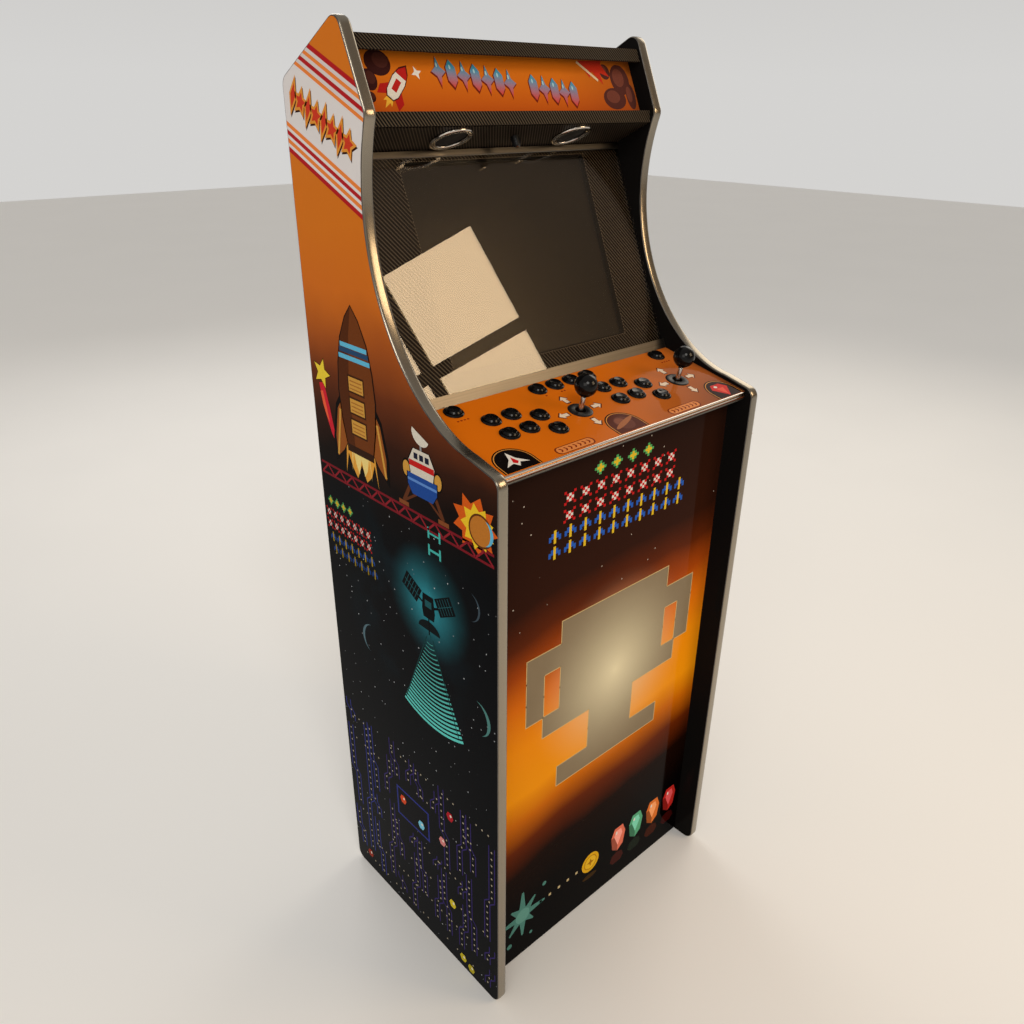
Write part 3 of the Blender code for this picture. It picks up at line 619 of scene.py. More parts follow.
def ellipse(across, up, wide, tall=None, steps=28, start=0.0, turn=math.tau):
    tall = wide if tall is None else tall
    count = steps if turn == math.tau else steps + 1
    angles = [start + turn * i / steps for i in range(count)]
    return [(across + wide * math.cos(a), up + tall * math.sin(a)) for a in angles]


def arc(centre, radius, start, end, steps):
    """Part of a circle, between two angles in degrees."""
    angles = [math.radians(start + (end - start) * i / steps) for i in range(steps + 1)]
    return [(centre[0] + radius * math.cos(a), centre[1] + radius * math.sin(a)) for a in angles]


def capsule(across, up, reach, wide, tall, steps):
    """Two half ellipses, each at this reach from the middle."""
    right = ellipse(across + reach, up, wide, tall, steps, -math.pi / 2, math.pi)
    return right + ellipse(across - reach, up, wide, tall, steps, math.pi / 2, math.pi)


def star(across, up, radius, points=5, waist=0.42, lean=0.0):
    outline = []
    for i in range(points * 2):
        reach = radius * waist if i % 2 else radius
        angle = lean + math.pi / 2 + math.pi * i / points
        outline.append((across + reach * math.cos(angle), up + reach * math.sin(angle)))
    return outline


def bar(start, end, width):
    """A straight stroke."""
    a, b = Vector(start), Vector(end)
    along = (b - a).normalized() * width / 2
    side = Vector((-along.y, along.x))
    return [tuple(p) for p in (a + side, a - side, b - side, b + side)]


def moved(outline, across, up, size=1.0, angle=0.0):
    cos, sin = math.cos(angle) * size, math.sin(angle) * size
    return [(across + a * cos - b * sin, up + a * sin + b * cos) for a, b in outline]


def stretched(outline, wide, tall, level=0.0):
    """An outline with its sizes multiplied, about a level that stays where it is."""
    return [(a * wide, level + (b - level) * tall) for a, b in outline]


def mirrored(half):
    """Both halves of an outline whose first point is on its middle line."""
    return half + [(-a, b) for a, b in half[:0:-1]]


def crescent(across, up, radius, thick, lean=0.0):
    """A thin moon: its outer arc, and a flatter arc back."""
    outer = arc((0, 0), radius, -80, 80, 14)
    inner = stretched(outer, 1 - thick / radius, 1.0)
    return moved(outer + inner[1:-1][::-1], across, up, 1.0, lean)


WHITE = ink(232, 226, 216)
BLACK = ink(14, 11, 10)
YELLOW = ink(236, 196, 44)
RED = ink(204, 32, 34)
BLUE = ink(44, 98, 196)
GREEN = ink(88, 176, 100)
SKY = ink(98, 186, 220)
BROWN = ink(112, 58, 24)
TAN = ink(206, 152, 66)
TEAL = ink(70, 178, 170)
MAROON = ink(122, 26, 36)

# Small block shapes of the printed rows, one letter for one ink
BLOCKS = {
    "gem": ["..g..", ".gyg.", "gyyyg", ".gyg.", "..g.."],
    "cross": ["r...r", ".rwr.", ".wrw.", ".rwr.", "r...r"],
    "dart": ["..y..", ".byb.", "bbybb", "b.y.b", "..y.."],
    "cup": ["..xxxxxxx..", "xxxxxxxxxxx", "x.xxxxxxx.x", "x.xxxxxxx.x",
            ".xxxxxxxxx.", "....xxx....", "....xxx....", "..xxxxxxx.."], }
BLOCK_INKS = {"g": GREEN, "y": YELLOW, "r": RED, "w": WHITE, "b": BLUE}


def block_rows(sheet, rows, wide, tall, lift):
    """Rows of block shapes: rows hold (name, up, count, left, pitch, share of light)."""
    for name, up, count, left, pitch, share in rows:
        for i in range(count):
            sheet.rows(name, left + i * pitch, up - lift, wide / 5, tall / 5,
                       lambda letter: dimmed(BLOCK_INKS[letter], share))


# Art of the side panels -----------------------------------------------------------------------
def draw_badges(sheet):
    """Stars and lozenges along the pale band, where it slopes."""
    for i in range(8):
        across = 290 + i * 18.6
        up = 1377 + BAND_SLOPE * (across - BAND_FOOT / MM)
        outline = [(0, 27), (9.5, 0), (0, -27), (-9.5, 0)] if i % 2 else star(0, 0, 21, 5, 0.5)
        for layer, shift, size, tint in ((1, 1, 1.0, ink(56, 24, 18)),
                                         (2, 0, 1.0, ink(226, 148, 56)),
                                         (3, 0, 0.62, ink(206, 60, 36))):
            sheet.at(across - shift * 1.5, up - shift * 2.5, size, math.atan(BAND_SLOPE))
            sheet.shape(outline, tint, layer)
    sheet.at()


def draw_truss(sheet):
    """A red girder right across the panel."""
    for up in (907, 889):
        sheet.shape(rectangle(6, up, 440, up + 4), MAROON, 1)
    pitch = 430 / 24
    for i in range(24):
        start, end = (908, 892) if i % 2 else (892, 908)
        sheet.shape(bar((8 + i * pitch, start), (8 + (i + 1) * pitch, end), 3.4),
                    ink(142, 34, 44), 2)


def draw_rocket(sheet):
    """A fat brown and tan rocket that takes off from the girder."""
    middle = 316
    flames = [(-44, 913), (-36, 950), (-26, 926), (-12, 914), (0, 940), (14, 913), (26, 928),
              (36, 950), (46, 914), (40, 964), (-38, 964)]
    sheet.at(middle)
    sheet.shape(flames, ink(226, 160, 62), 1)
    sheet.shape([(a * 0.6, b + 8) for a, b in flames], ink(240, 214, 132), 2)
    for side in (-1, 1):
        fin = [(side * a, b) for a, b in ((40, 1052), (62, 1024), (76, 966), (74, 926), (52, 944),
                                          (30, 972))]
        sheet.shape(fin, BLACK, 3)
        sheet.shape(moved(stretched(fin, 0.84, 0.84, 984), side * 5, 0), ink(150, 84, 34), 4)
        sheet.shape(bar((side * 66, 938), (side * 50, 1018), 5), TAN, 5)
    hull = mirrored([(0, 1183), (17, 1164), (34, 1132), (44, 1092), (48, 1050), (44, 1006),
                     (34, 962)])
    sheet.shape(stretched(hull, 1.06, 1.02, 1076), BLACK, 4)
    sheet.shape(hull, BROWN, 5)
    shade = [(a, b) for a, b in hull if a >= 0] + [(14, 962), (20, 1060), (10, 1140)]
    sheet.shape(shade, ink(84, 42, 18), 6)
    for up, wide, tint in ((1102, 41, SKY), (1112, 38, ink(40, 74, 110)), (1120, 35, SKY)):
        sheet.shape(rectangle(-wide, up, wide, up + 7), tint, 7)
    for low in (984, 1018, 1052):
        sheet.shape(rectangle(-22, low, 22, low + 28), ink(64, 34, 16), 7)
        sheet.shape(rectangle(-19, low + 3, 19, low + 25), TAN, 8)
        for up in (low + 6, low + 12, low + 18):
            sheet.shape(rectangle(-16, up, 16, up + 2), ink(170, 112, 48), 9)
    sheet.shape(rectangle(-36, 954, 36, 966), ink(52, 30, 18), 8)
    sheet.at()


def draw_shooting_star(sheet):
    tail = [(424, 1046), (410, 1050), (398, 1010), (388, 968), (382, 950), (398, 968), (414, 1004)]
    sheet.shape(tail, ink(206, 36, 52), 1)
    sheet.shape(moved(tail, 210, 510, 0.5), ink(236, 96, 60), 2)
    for radius, tint, layer in ((27, ink(70, 40, 16), 1), (24, ink(238, 208, 60), 2)):
        sheet.shape(star(413, 1064, radius, 5, 0.46, 0.3), tint, layer)


def draw_lander(sheet):
    """A white and blue moon lander, with a dish on its roof."""
    sheet.at(160, 912)
    for side in (-1, 1):
        sheet.shape(bar((side * 24, 46), (side * 47, 7), 7), ink(96, 52, 30), 1)
        sheet.shape(bar((side * 10, 30), (side * 47, 7), 4), ink(96, 52, 30), 2)
        sheet.shape(rectangle(side * 47 - 12, 0, side * 47 + 12, 7), ink(132, 74, 40), 3)
        tank = ellipse(0, 0, 10, 15)
        sheet.shape(moved(tank, side * 37, 62), BLACK, 2)
        sheet.shape(moved(tank, side * 37, 62, 0.8), TAN, 3)
    base = [(-34, 40), (-24, 26), (24, 26), (34, 40), (34, 58), (-34, 58)]
    sheet.shape(stretched(base, 1.06, 1.01), BLACK, 3)
    sheet.shape(base, ink(34, 74, 150), 4)
    sheet.shape(rectangle(-34, 46, 34, 50), ink(96, 140, 206), 5)
    cabin = [(-26, 58), (26, 58), (30, 78), (18, 98), (-18, 98), (-30, 78)]
    sheet.shape([(a * 1.07, 1 + b) for a, b in cabin], BLACK, 4)
    sheet.shape(cabin, ink(214, 206, 190), 5)
    sheet.shape(rectangle(-29, 70, 29, 79), ink(196, 34, 32), 6)
    for left in (-18, -5, 8):
        sheet.shape(rectangle(left, 83, left + 9, 92), ink(30, 34, 52), 7)
    sheet.shape(rectangle(-2, 98, 2, 108), ink(150, 150, 150), 5)
    dish = ellipse(0, 0, 20, 16, 12, math.pi, math.pi)
    sheet.shape(moved(dish, 0, 122, 1.0, 0.4), ink(220, 212, 196), 6)
    sheet.at()


def draw_comet(sheet):
    flame = star(42, 940, 44, 9, 0.66, 0.2)
    sheet.shape([(a + (7 if a > 42 else 0), b) for a, b in flame], ink(214, 92, 26), 1)
    sheet.shape(star(40, 938, 35, 9, 0.7, 0.5), YELLOW, 2)
    sheet.shape(ellipse(33, 935, 25), ink(96, 52, 20), 3)
    sheet.shape(ellipse(33, 935, 22), ink(190, 118, 44), 4)
    sheet.shape(crescent(26, 935, 19, 6, math.pi), SKY, 5)


def draw_girder_pieces(sheet):
    for up in (888, 860):
        sheet.shape(rectangle(122, up - 2, 152, up + 2), TEAL, 1)
        for across in (124, 150):
            sheet.shape(centred(across, up, 2, 9), TEAL, 2)


def draw_rows(sheet):
    """Rows of small block shapes at the panel's back."""
    rows = [("gem", 842, 4, 356, 19.6, 0.75), ("cross", 818, 7, 306, 19.6, 0.75),
            ("cross", 796, 7, 306, 19.6, 0.75), ("dart", 772, 7, 300, 19.6, 0.45),
            ("dart", 750, 7, 294, 19.6, 0.35)]
    block_rows(sheet, rows, 16, 18, 9)


def draw_craft(sheet):
    """A dark satellite in a teal glow, and the rings of its radio beam."""
    dark, line = ink(7, 11, 13), ink(30, 84, 90)
    for side in (-1, 1):
        sheet.shape(bar((158, 754), (158 + side * 24, 765), 4), dark, 1)
        sheet.at(158 + side * 41, 776, 1.0, side * 0.5)
        sheet.shape(centred(0, 0, 21, 15), dark, 1)
        for shift in (-14, -7, 0, 7, 14):
            sheet.shape(centred(shift, 0, 0.6, 13), line, 2)
        sheet.shape(centred(0, 0, 19, 0.6), line, 3)
        sheet.at()
    body = [(145, 736), (171, 736), (174, 750), (171, 778), (145, 778), (142, 750)]
    sheet.shape(body, dark, 4)
    sheet.shape(rectangle(150, 756, 166, 768), line, 5)
    sheet.shape(ellipse(158, 714, 27, 17, 16, 0.0, math.pi), ink(10, 20, 22), 5)
    sheet.shape(bar((158, 738), (158, 704), 2.6), dark, 6)
    sheet.shape(ellipse(158, 704, 3.2, 3.2, 12), line, 7)
    for i in range(21):
        reach, thick = 18 + i * 8.2, 1.6 + i * 0.16
        outer, inner = (arc((158, 706), r, -115.5, -64.5, 12) for r in (reach, reach - thick))
        sheet.shape(outer + inner[::-1], dimmed(ink(96, 206, 196), 0.45 + 0.55 * i / 20), 1)
    for start, end in ((150, 92), (166, 232)):
        sheet.shape(bar((start, 700), (end, 546), 2), ink(18, 58, 58), 2)


def draw_moons(sheet):
    sheet.shape(crescent(326, 610, 29, 6, 0.15), ink(84, 110, 120), 1)
    sheet.shape(crescent(46, 616, 31, 7, math.pi - 0.2), ink(78, 128, 124), 1)
    sheet.shape(crescent(60, 806, 24, 4, math.pi), ink(60, 74, 84), 1)


def draw_circuit(sheet):
    """Printed tracks with rows of pads, round a central block."""
    violet, blue, pad = ink(48, 36, 96), ink(44, 50, 126), ink(176, 164, 142)
    sheet.shape(rectangle(184, 244, 282, 314), blue, 1)
    sheet.shape(rectangle(188, 248, 278, 310), ink(10, 9, 14), 2)
    draw = random.Random(7)
    for k, across in enumerate([*range(26, 387, 36), 418]):
        low, high = 22 + 14 * (k % 3), 372 + 8 * (k % 4) + 5 * k / 2
        cuts = sorted(draw.uniform(low, high) for _ in range(2))
        runs = [(low, cuts[0] - 8), (cuts[0] + 8, cuts[1] - 8), (cuts[1] + 8, high)]
        if 166 < across < 300:
            runs = [run for start, end in runs
                    for run in ((start, min(end, 226)), (max(start, 332), end))]
        bend, tint = (1 if k % 2 else -1), (blue if k > 8 else violet)
        for start, end in runs:
            if end - start < 24:
                continue
            knee = start + (end - start) * 0.4
            for a in (across - 7, across + 7):
                b = a + bend * 12
                sheet.shape(bar((a, start), (a, knee), 2.4), tint, 1)
                sheet.shape(bar((a, knee), (b, knee + 12), 2.4), tint, 2)
                if end > knee + 14:
                    sheet.shape(bar((b, knee + 12), (b, end), 2.4), tint, 1)
            for i in range(int((end - start) / 15)):
                up = start + 7 + i * 15
                shift = bend * min(12, max(0, up - knee))
                sheet.shape(centred(across + shift, up, 1.6, 1.6), pad, 3)
    for up in (30, 92, 152, 216, 338, 392):
        for across in range(22, 413, 15):
            if draw.random() >= 0.42 and not (166 < across < 300 and 230 < up < 330):
                sheet.shape(centred(across, up, 1.5, 1.5), pad, 3)
    lamps = [(262, 290, ink(214, 74, 34)), (208, 268, ink(120, 196, 222)),
             (122, 355, ink(176, 26, 40)), (146, 278, ink(212, 130, 128)),
             (122, 142, ink(206, 186, 40)), (95, 24, ink(196, 178, 36)),
             (72, 16, ink(180, 164, 32)), (398, 40, ink(150, 44, 24))]
    for across, up, tint in lamps:
        sheet.shape(ellipse(across, up, 11, 12, 6), ink(12, 10, 12), 4)
        sheet.shape(ellipse(across, up, 9.5, 10.5, 6), tint, 5)
        sheet.shape(ellipse(across - 2.5, up + 3, 2.6, 2.6, 8), ink(232, 226, 210), 6)


def draw_sides():
    upper = (draw_badges, draw_truss, draw_rocket, draw_shooting_star, draw_lander, draw_comet,
             draw_girder_pieces)
    lower = (draw_rows, draw_craft, draw_moons, draw_circuit)
    for side, face in SIDE.items():
        for level, drawings in (("upper_", upper), ("lower_", lower)):
            sheet = Print(face)
            for draw in drawings:
                draw(sheet)
            sheet.finish("side_print_" + level + side, "side_art")


# Art of the front panel -----------------------------------------------------------------------
def draw_cup():
    """A big block cup, with a pale line round it."""
    sheet = Print(FRONT)
    for grow, layer, mat in ((1.6, 1, PRINTED_INK), (0.0, 2, CUP_INK)):
        sheet.rows("cup", -190, 372, 37.6, 42.6, lambda letter: ink(206, 178, 122), layer, grow,
                   mat)
    sheet.finish("front_print_cup", "front_art")


def draw_gems(sheet):
    """Four cut gems that stand on the dark floor, with faint reflections."""
    gem = [(-21, 44), (-12, 66), (12, 66), (21, 44), (16, 12), (0, 0), (-16, 12)]
    table = [(-12, 44), (-7, 58), (7, 58), (12, 44), (0, 16)]
    left_side = [(-21, 44), (-12, 44), (0, 16), (0, 0), (-16, 12)]
    tints = [(226, 116, 90), (90, 170, 128), (222, 116, 44), (190, 40, 34)]
    for i, (red, green, blue) in enumerate(tints):
        light = ink(min(255, red + 40), min(255, green + 50), min(255, blue + 60))
        sheet.at(72 + i * 54, 76)
        sheet.shape(gem, ink(red, green, blue), 1)
        sheet.shape(left_side, ink(red * 0.7, green * 0.7, blue * 0.7), 2)
        sheet.shape(table, light, 2)
        sheet.shape(ellipse(-6, 52, 2.6, 4, 10), WHITE, 3)
        sheet.shape([(a * 0.95, -b * 0.45 - 3) for a, b in gem],
                    ink(red * 0.28, green * 0.2, blue * 0.2), 1)
    sheet.at()


def draw_coin_and_splash(sheet):
    """A coin, the dots that fly from it, and a splash with drops."""
    for layer, radius, tint in ((1, 24, ink(222, 170, 24)), (2, 18, ink(186, 132, 16)),
                                (3, 15.5, ink(230, 182, 40))):
        sheet.shape(ellipse(-9, 104, radius), tint, layer)
    sheet.shape(star(-9, 104, 10, 4, 0.4), ink(168, 112, 12), 4)
    sheet.shape(ellipse(-9, 66, 20, 6), ink(58, 38, 8), 1)
    for i in range(5):
        sheet.shape(centred(-48 - i * 24, 104, 3, 3), ink(196, 176, 132), 1)
    splash = []
    reach = [56, 22, 44, 20, 60, 24, 40, 18, 58, 22, 46, 20, 52, 21, 38, 19]
    for i, length in enumerate(reach):
        for part in (-0.11, 0.11):
            angle = math.tau * (i + part) / len(reach)
            splash.append((-190 + length * math.cos(angle), 104 + length * math.sin(angle)))
    sheet.shape(splash, ink(76, 128, 118), 1)
    sheet.shape(ellipse(-190, 104, 17), ink(96, 150, 138), 2)
    for across, up, size in ((-238, 152, 6), (-136, 146, 5), (-222, 46, 6), (-168, 42, 4)):
        sheet.shape(ellipse(across, up, size, size, 12), ink(76, 128, 118), 1)


def draw_front():
    sheet = Print(FRONT)
    rows = [("gem", 955, 4, -59, 37, 0.9), ("cross", 926, 8, -122, 33.5, 0.9),
            ("cross", 897, 8, -122, 33.5, 0.9), ("dart", 870, 10, -151, 32.5, 0.9),
            ("dart", 843, 10, -151, 32.5, 0.9)]
    block_rows(sheet, rows, 25, 22, 10)
    draw_gems(sheet)
    draw_coin_and_splash(sheet)
    sheet.finish("front_print_small", "front_art")
    draw_cup()


# Art of the control panel and the marquee -----------------------------------------------------
def medallion(sheet, across, ground, emblem):
    """A round-topped plate at the board's front edge, with an emblem of (outline, ink) layers."""
    sheet.at(across)
    for inset, layer, tint in ((0, 1, ink(34, 18, 12)), (2.2, 2, ink(222, 150, 70)),
                               (3.6, 3, ground)):
        half, top = 33 - inset, 52 - inset
        dome = ellipse(0, top - half, half, half, 20, 0.0, math.pi)
        sheet.shape([(half, 1.5), *dome, (-half, 1.5)], tint, layer)
    sheet.at(across, 23)
    for layer, (outline, tint) in enumerate(emblem):
        sheet.shape(outline, tint, layer + 4)
    sheet.at()


SHIP = [([(0, 20), (6, 4), (20, -10), (6, -6), (0, -14), (-6, -6), (-20, -10), (-6, 4)], WHITE),
        ([(0, 8), (5, -4), (0, -8), (-5, -4)], RED)]
PLANET = [(ellipse(0, 0, 17), ink(104, 56, 44)), (ellipse(-4, 4, 10), ink(134, 78, 58)),
          (moved(ellipse(0, 0, 27, 4.4), 0, 0, 1.0, 0.35), ink(168, 104, 66))]
GEM = [([(0, -20), (20, 4), (11, 16), (-11, 16), (-20, 4)], ink(206, 44, 40)),
       ([(0, -16), (9, 4), (-9, 4)], ink(232, 90, 70)), (ellipse(-5, 9, 4, 3, 10), WHITE)]


def lozenge(sheet, across, up):
    """A long rounded badge with a row of small chevrons."""
    for grow, layer, tint in ((1.4, 1, ink(120, 46, 18)), (0.0, 2, ink(224, 138, 74))):
        tall = 7 + grow
        sheet.shape(capsule(across, up, 28 + grow, tall, tall, 10), tint, layer)
    chevron = [(-3, -4), (0, -4), (3, 0), (0, 4), (-3, 4), (0, 0)]
    for i in range(7):
        sheet.shape(moved(chevron, across - 27 + i * 9, up), ink(132, 48, 20), 3)


def arrows(sheet, across, up):
    """Four outlined arrows round a joystick."""
    arrow = [(0, 11), (8.5, 2), (4, 2), (4, -9), (-4, -9), (-4, 2), (-8.5, 2)]
    for quarter in range(4):
        angle = quarter * math.pi / 2
        place = (across - 34 * math.sin(angle), up + 34 * math.cos(angle))
        sheet.shape(moved(arrow, *place, 1.18, angle), ink(96, 40, 20), 1)
        sheet.shape(moved(arrow, *place, 0.92, angle), ink(238, 216, 190), 2)


def draw_control():
    sheet = Print(CONTROL)
    medallion(sheet, -228, ink(18, 14, 14), SHIP)
    medallion(sheet, -8, ink(88, 40, 28), PLANET)
    medallion(sheet, 234, ink(40, 16, 16), GEM)
    lozenge(sheet, -124, 11)
    lozenge(sheet, 121, 11)
    for stick in JOYSTICKS.values():
        arrows(sheet, stick / MM, JOYSTICK_ROW / MM)
    for across, up, count in ((-224, 136, 4), (223, 136, 4), (-61, 137, 1), (-25, 137, 2),
                              (12, 137, 3), (48, 137, 2)):
        for i in range(count):
            left = across + (i - (count - 1) / 2) * 6
            sheet.shape(centred(left, up, 1.7, 1.3), ink(140, 34, 16), 1)
    sheet.finish("control_print", "control_art")


def sky_to_red(across, up):
    """The fade of the marquee's beads: red below a slanted line, blue above it."""
    share = min(1.0, max(0.0, (up - 26 + 0.09 * (across + 60)) / 32))
    cold, hot = ink(42, 156, 190), ink(210, 66, 44)
    return tuple(h * (1 - share) + c * share for c, h in zip(cold, hot))


def draw_marquee_rocket(sheet):
    sheet.at(-207, 32, 1.0, -0.75)
    hull = mirrored([(0, 34), (7, 24), (10, 10), (9, -12), (5, -20)])
    for side in (-1, 1):
        fin = [(side * 8, 0), (side * 20, -14), (side * 18, -28), (side * 6, -18)]
        sheet.shape(fin, ink(176, 34, 30), 2)
    flame = [(-5, -20), (-7, -30), (-3, -27), (0, -38), (3, -27), (7, -30), (5, -20)]
    sheet.shape(flame, ink(236, 178, 60), 2)
    sheet.shape(stretched(hull, 1.1, 1.1), ink(70, 28, 24), 3)
    sheet.shape(hull, ink(226, 218, 204), 4)
    nose = [(0, 34), (7, 24), (8.5, 17), (-8.5, 17), (-7, 24)]
    for outline in (nose, rectangle(-4, -8, 4, 10)):
        sheet.shape(outline, ink(184, 36, 32), 5)
    sheet.at()


def draw_marquee():
    sheet = Print(MARQUEE)
    for across, up, wide, tall in ((-226, 62, 20, 17), (-246, 40, 12, 14), (-250, 18, 7, 7)):
        sheet.shape(ellipse(across, up, wide, tall), ink(58, 28, 26), 1)
        sheet.shape(ellipse(across + wide * 0.25, up + tall * 0.2, wide * 0.6, tall * 0.6),
                    ink(76, 40, 34), 2)
    draw_marquee_rocket(sheet)
    sheet.shape(star(-168, 50, 9, 4, 0.4, 0.3), WHITE, 2)
    beads = [-130, -108, -87, -66, -45, -24, -4, 42, 63, 84, 104, 124]
    for i, across in enumerate(beads):
        up = 45 - 0.11 * (across + 60)
        outline = stretched(star(0, 0, 20, 4, 0.45), 0.6, 1.0)
        if i % 2:
            outline = [(0, 19), (8, 9), (8, -9), (0, -19), (-8, -9), (-8, 9)]
        sheet.shape(moved(outline, across - 1.2, up - 1.5, 1.12), ink(116, 38, 24), 1)
        sheet.shape(moved(outline, across, up), sky_to_red, 2)
        sheet.shape(ellipse(across - 1, up + 9, 1.6, 3.2, 10), ink(168, 206, 214), 3)
    rocks = [(256, 22, 24, 22), (216, 18, 26, 18), (238, 48, 22, 24), (206, 60, 12, 12)]
    for i, (across, up, wide, tall) in enumerate(rocks):
        wide, tall = min(wide, 267 - across), min(tall, up - 1)
        sheet.shape(ellipse(across, up, wide, min(tall, 77 - up)), ink(84, 46, 40), 1 + i % 3)
        sheet.shape(ellipse(across - 3, up + 3, wide * 0.6, tall * 0.6), ink(112, 62, 50), 4)
    flare = [(150, 76), (168, 50), (176, 60), (196, 40), (194, 58), (214, 52), (200, 72), (204, 77)]
    sheet.shape(flare, ink(196, 52, 34), 5)
    sheet.shape(bar((146, 74), (186, 46), 4), ink(222, 196, 160), 6)
    sheet.finish("marquee_print", "marquee_art")


# Edge trims -----------------------------------------------------------------------------------
def fillet(before, corner, after, radius, steps):
    corner = Vector(corner)
    into = (Vector(before) - corner).normalized()
    away = (Vector(after) - corner).normalized()
    half = into.angle(away) / 2
    centre = corner + (into + away).normalized() * (radius / math.sin(half))
    first, last = (corner + way * (radius / math.tan(half)) - centre for way in (into, away))
    turn = first.angle_signed(last)
    return [centre + Matrix.Rotation(-turn * step / steps, 2) @ first for step in range(steps + 1)]


def bezier(knots, steps):
    points = []
    for step in range(1, steps):
        t = step / steps
        weights = ((1 - t) ** 3, 3 * (1 - t) ** 2 * t, 3 * (1 - t) * t * t, t ** 3)
        points.append(sum((Vector(k) * w for k, w in zip(knots, weights)), Vector((0, 0))))
    return points


def side_outline():
    """The side panel's outline, the same as the solid's but with finer arcs."""
    shoulder, marquee = (0.0564, 1.0299), (BAND_FOOT, 1.4297)
    low, high = math.radians(7.7), math.radians(19.5)
    handles = [shoulder,
               (shoulder[0] + 0.1305 * math.cos(low), shoulder[1] + 0.1305 * math.sin(low)),
               (marquee[0] + 0.2066 * math.sin(high), marquee[1] - 0.2066 * math.cos(high)),
               marquee]
    curve = [tuple(p) for p in bezier(handles, 40)]
    corners = [(0.0, 0.0), (0.0, 1.0155), shoulder, *curve, marquee, (0.2995, 1.5431),
               (DEPTH, 1.4693), (DEPTH, 0.0)]
    outline = []
    for i, corner in enumerate(corners):
        if corner in (shoulder, *curve):
            outline.append(Vector(corner))
        else:
            outline += fillet(corners[i - 1], corner, corners[(i + 1) % len(corners)], 0.016, 8)
    return outline


class EdgePath:
    """Places (across, out) on the edge of a side panel at each stop of its outline."""

    def __init__(self, x):
        self.x = x
        self.outline = side_outline()
        self.stops = len(self.outline)
        self.normals = []
        for i, here in enumerate(self.outline):
            into = (here - self.outline[i - 1]).normalized()
            away = (self.outline[(i + 1) % self.stops] - here).normalized()
            tangent = (into + away).normalized()
            self.normals.append(Vector((-tangent.y, tangent.x)))

    def at(self, stop, across, out):
        point = self.outline[stop] + self.normals[stop] * out
        return cabinet_point(self.x + across, point.x, point.y)


def make_edge_trims():
    """A domed strip in satin silver, with a lip along each of its edges in a darker metal that is
    painted shade of its rounded edges.
    """
    half = BOARD / 2
    dome = [(-half + 0.001, 0.0003), (-half + 0.001, 0.0014), (-half + 0.0022, 0.002),
            (-half + 0.0042, 0.0023), (0.0, 0.0024), (half - 0.0042, 0.0023),
            (half - 0.0022, 0.002), (half - 0.001, 0.0014), (half - 0.001, 0.0003)]
    lip = [(half - 0.001, 0.0003), (half - 0.0009, 0.0011), (half - 0.0004, 0.0011),
           (half, 0.0007), (half, 0.0003)]
    for side, sign in SIDES.items():
        path = EdgePath(sign * (INNER + half))
        trim = Solid().loop(dome, path, TRIM_METAL).loop(lip, path, TRIM_LIP_SHADE)
        trim.loop(stretched(lip, -1, 1)[::-1], path, TRIM_LIP_SHADE)
        trim.make("edge_moulding_" + side, "edge_trim", 50.0, ["edge_trim_" + side])


# Controls -------------------------------------------------------------------------------------
def player_buttons(side):
    """(x, up the slope) of one player's nine buttons, by the name of the plunger's node."""
    upper = [(JOYSTICKS[side] + a, JOYSTICK_ROW + b)
             for a, b in ((-0.068, 0.0165), (-0.106, 0.037), (-0.144, 0.037))]
    lower = [(x, up - 0.04) for x, up in upper]
    action = [upper[2], lower[2], lower[1], lower[0], upper[0], upper[1]]
    centre = [(-0.0065 + (i - 1.5) * 0.0365, 0.157) for i in range(4)]
    if side == "left":
        places = [(-0.2235, 0.1585), *action, centre[0], centre[1]]
    else:
        places = [(0.2235, 0.1585), *action[::-1], centre[3], centre[2]]
    names = ["side_button_" + side]
    names += ["action_button_%s_%d" % (side, i + 1) for i in range(6)]
    names += ["centre_button_%s_%d" % (side, i + 1) for i in range(2)]
    return list(zip(names, places))


def rim_profile():
    """A dished rim, a threaded body and the bore that the plunger slides in."""
    profile = [(0.0, -0.0125), (0.0122, -0.0125), (0.0122, 0.0021)]
    profile += arc((0.013, 0.0022), 0.0008, 180, 70, 4)
    profile += [(0.0142, 0.0024), (0.015, 0.0015)]
    profile += arc((0.0149, 0.0009), 0.0006, 50, -60, 4)
    profile += [(0.015, GAP), (0.0132, GAP), (0.0132, -0.017)]
    for i in range(4):
        low = -0.0175 - i * 0.0016
        profile += [(0.0128, low), (0.0132, low - 0.0008)]
    return profile + [(0.0128, -0.0245), (0.011, -0.026), (0.0, -0.026)]


def hanging(start, end, sag, steps=12):
    """A wire's run between two places."""
    middle = (start + end) / 2 + Vector(sag)
    ts = [i / steps for i in range(steps + 1)]
    return [start * (1 - t) ** 2 + middle * 2 * t * (1 - t) + end * t * t for t in ts]


def make_button_rims():
    """Rims with nuts and switches, and the ground wire from one switch to the next."""
    low = -0.0165 - GAP
    nut = [(0.0134, low), (0.0172, low), (0.0176, low - 0.001), (0.0172, low - 0.004),
           (0.0134, low - 0.004)]
    for side in SIDES:
        rims, spots = Solid(), []
        for _, (x, up) in player_buttons(side):
            place = CONTROL.place(x, up)
            rims.turned(rim_profile(), place, GLOSS_BLACK)
            rims.turned(nut, place, SATIN_BLACK, 12, closed=True)
            rims.box((-0.01, -0.0033, -0.041), (0.01, 0.0033, -0.0262), place, SATIN_BLACK)
            for shift in (-0.006, 0.006):
                rims.box((shift - 0.0022, -0.0004, -0.0465), (shift + 0.0022, 0.0004, -0.041),
                         place, BRASS)
            spots.append(CONTROL.at(x, up, -0.044))
        for start, end in zip(spots, spots[1:]):
            rims.tube(hanging(start, end, (0, 0.002, -0.012)), 0.001, GREEN_WIRE)
        rims.make("button_rims_" + side, "button_plastic", 30.0, ["button_housings_" + side])


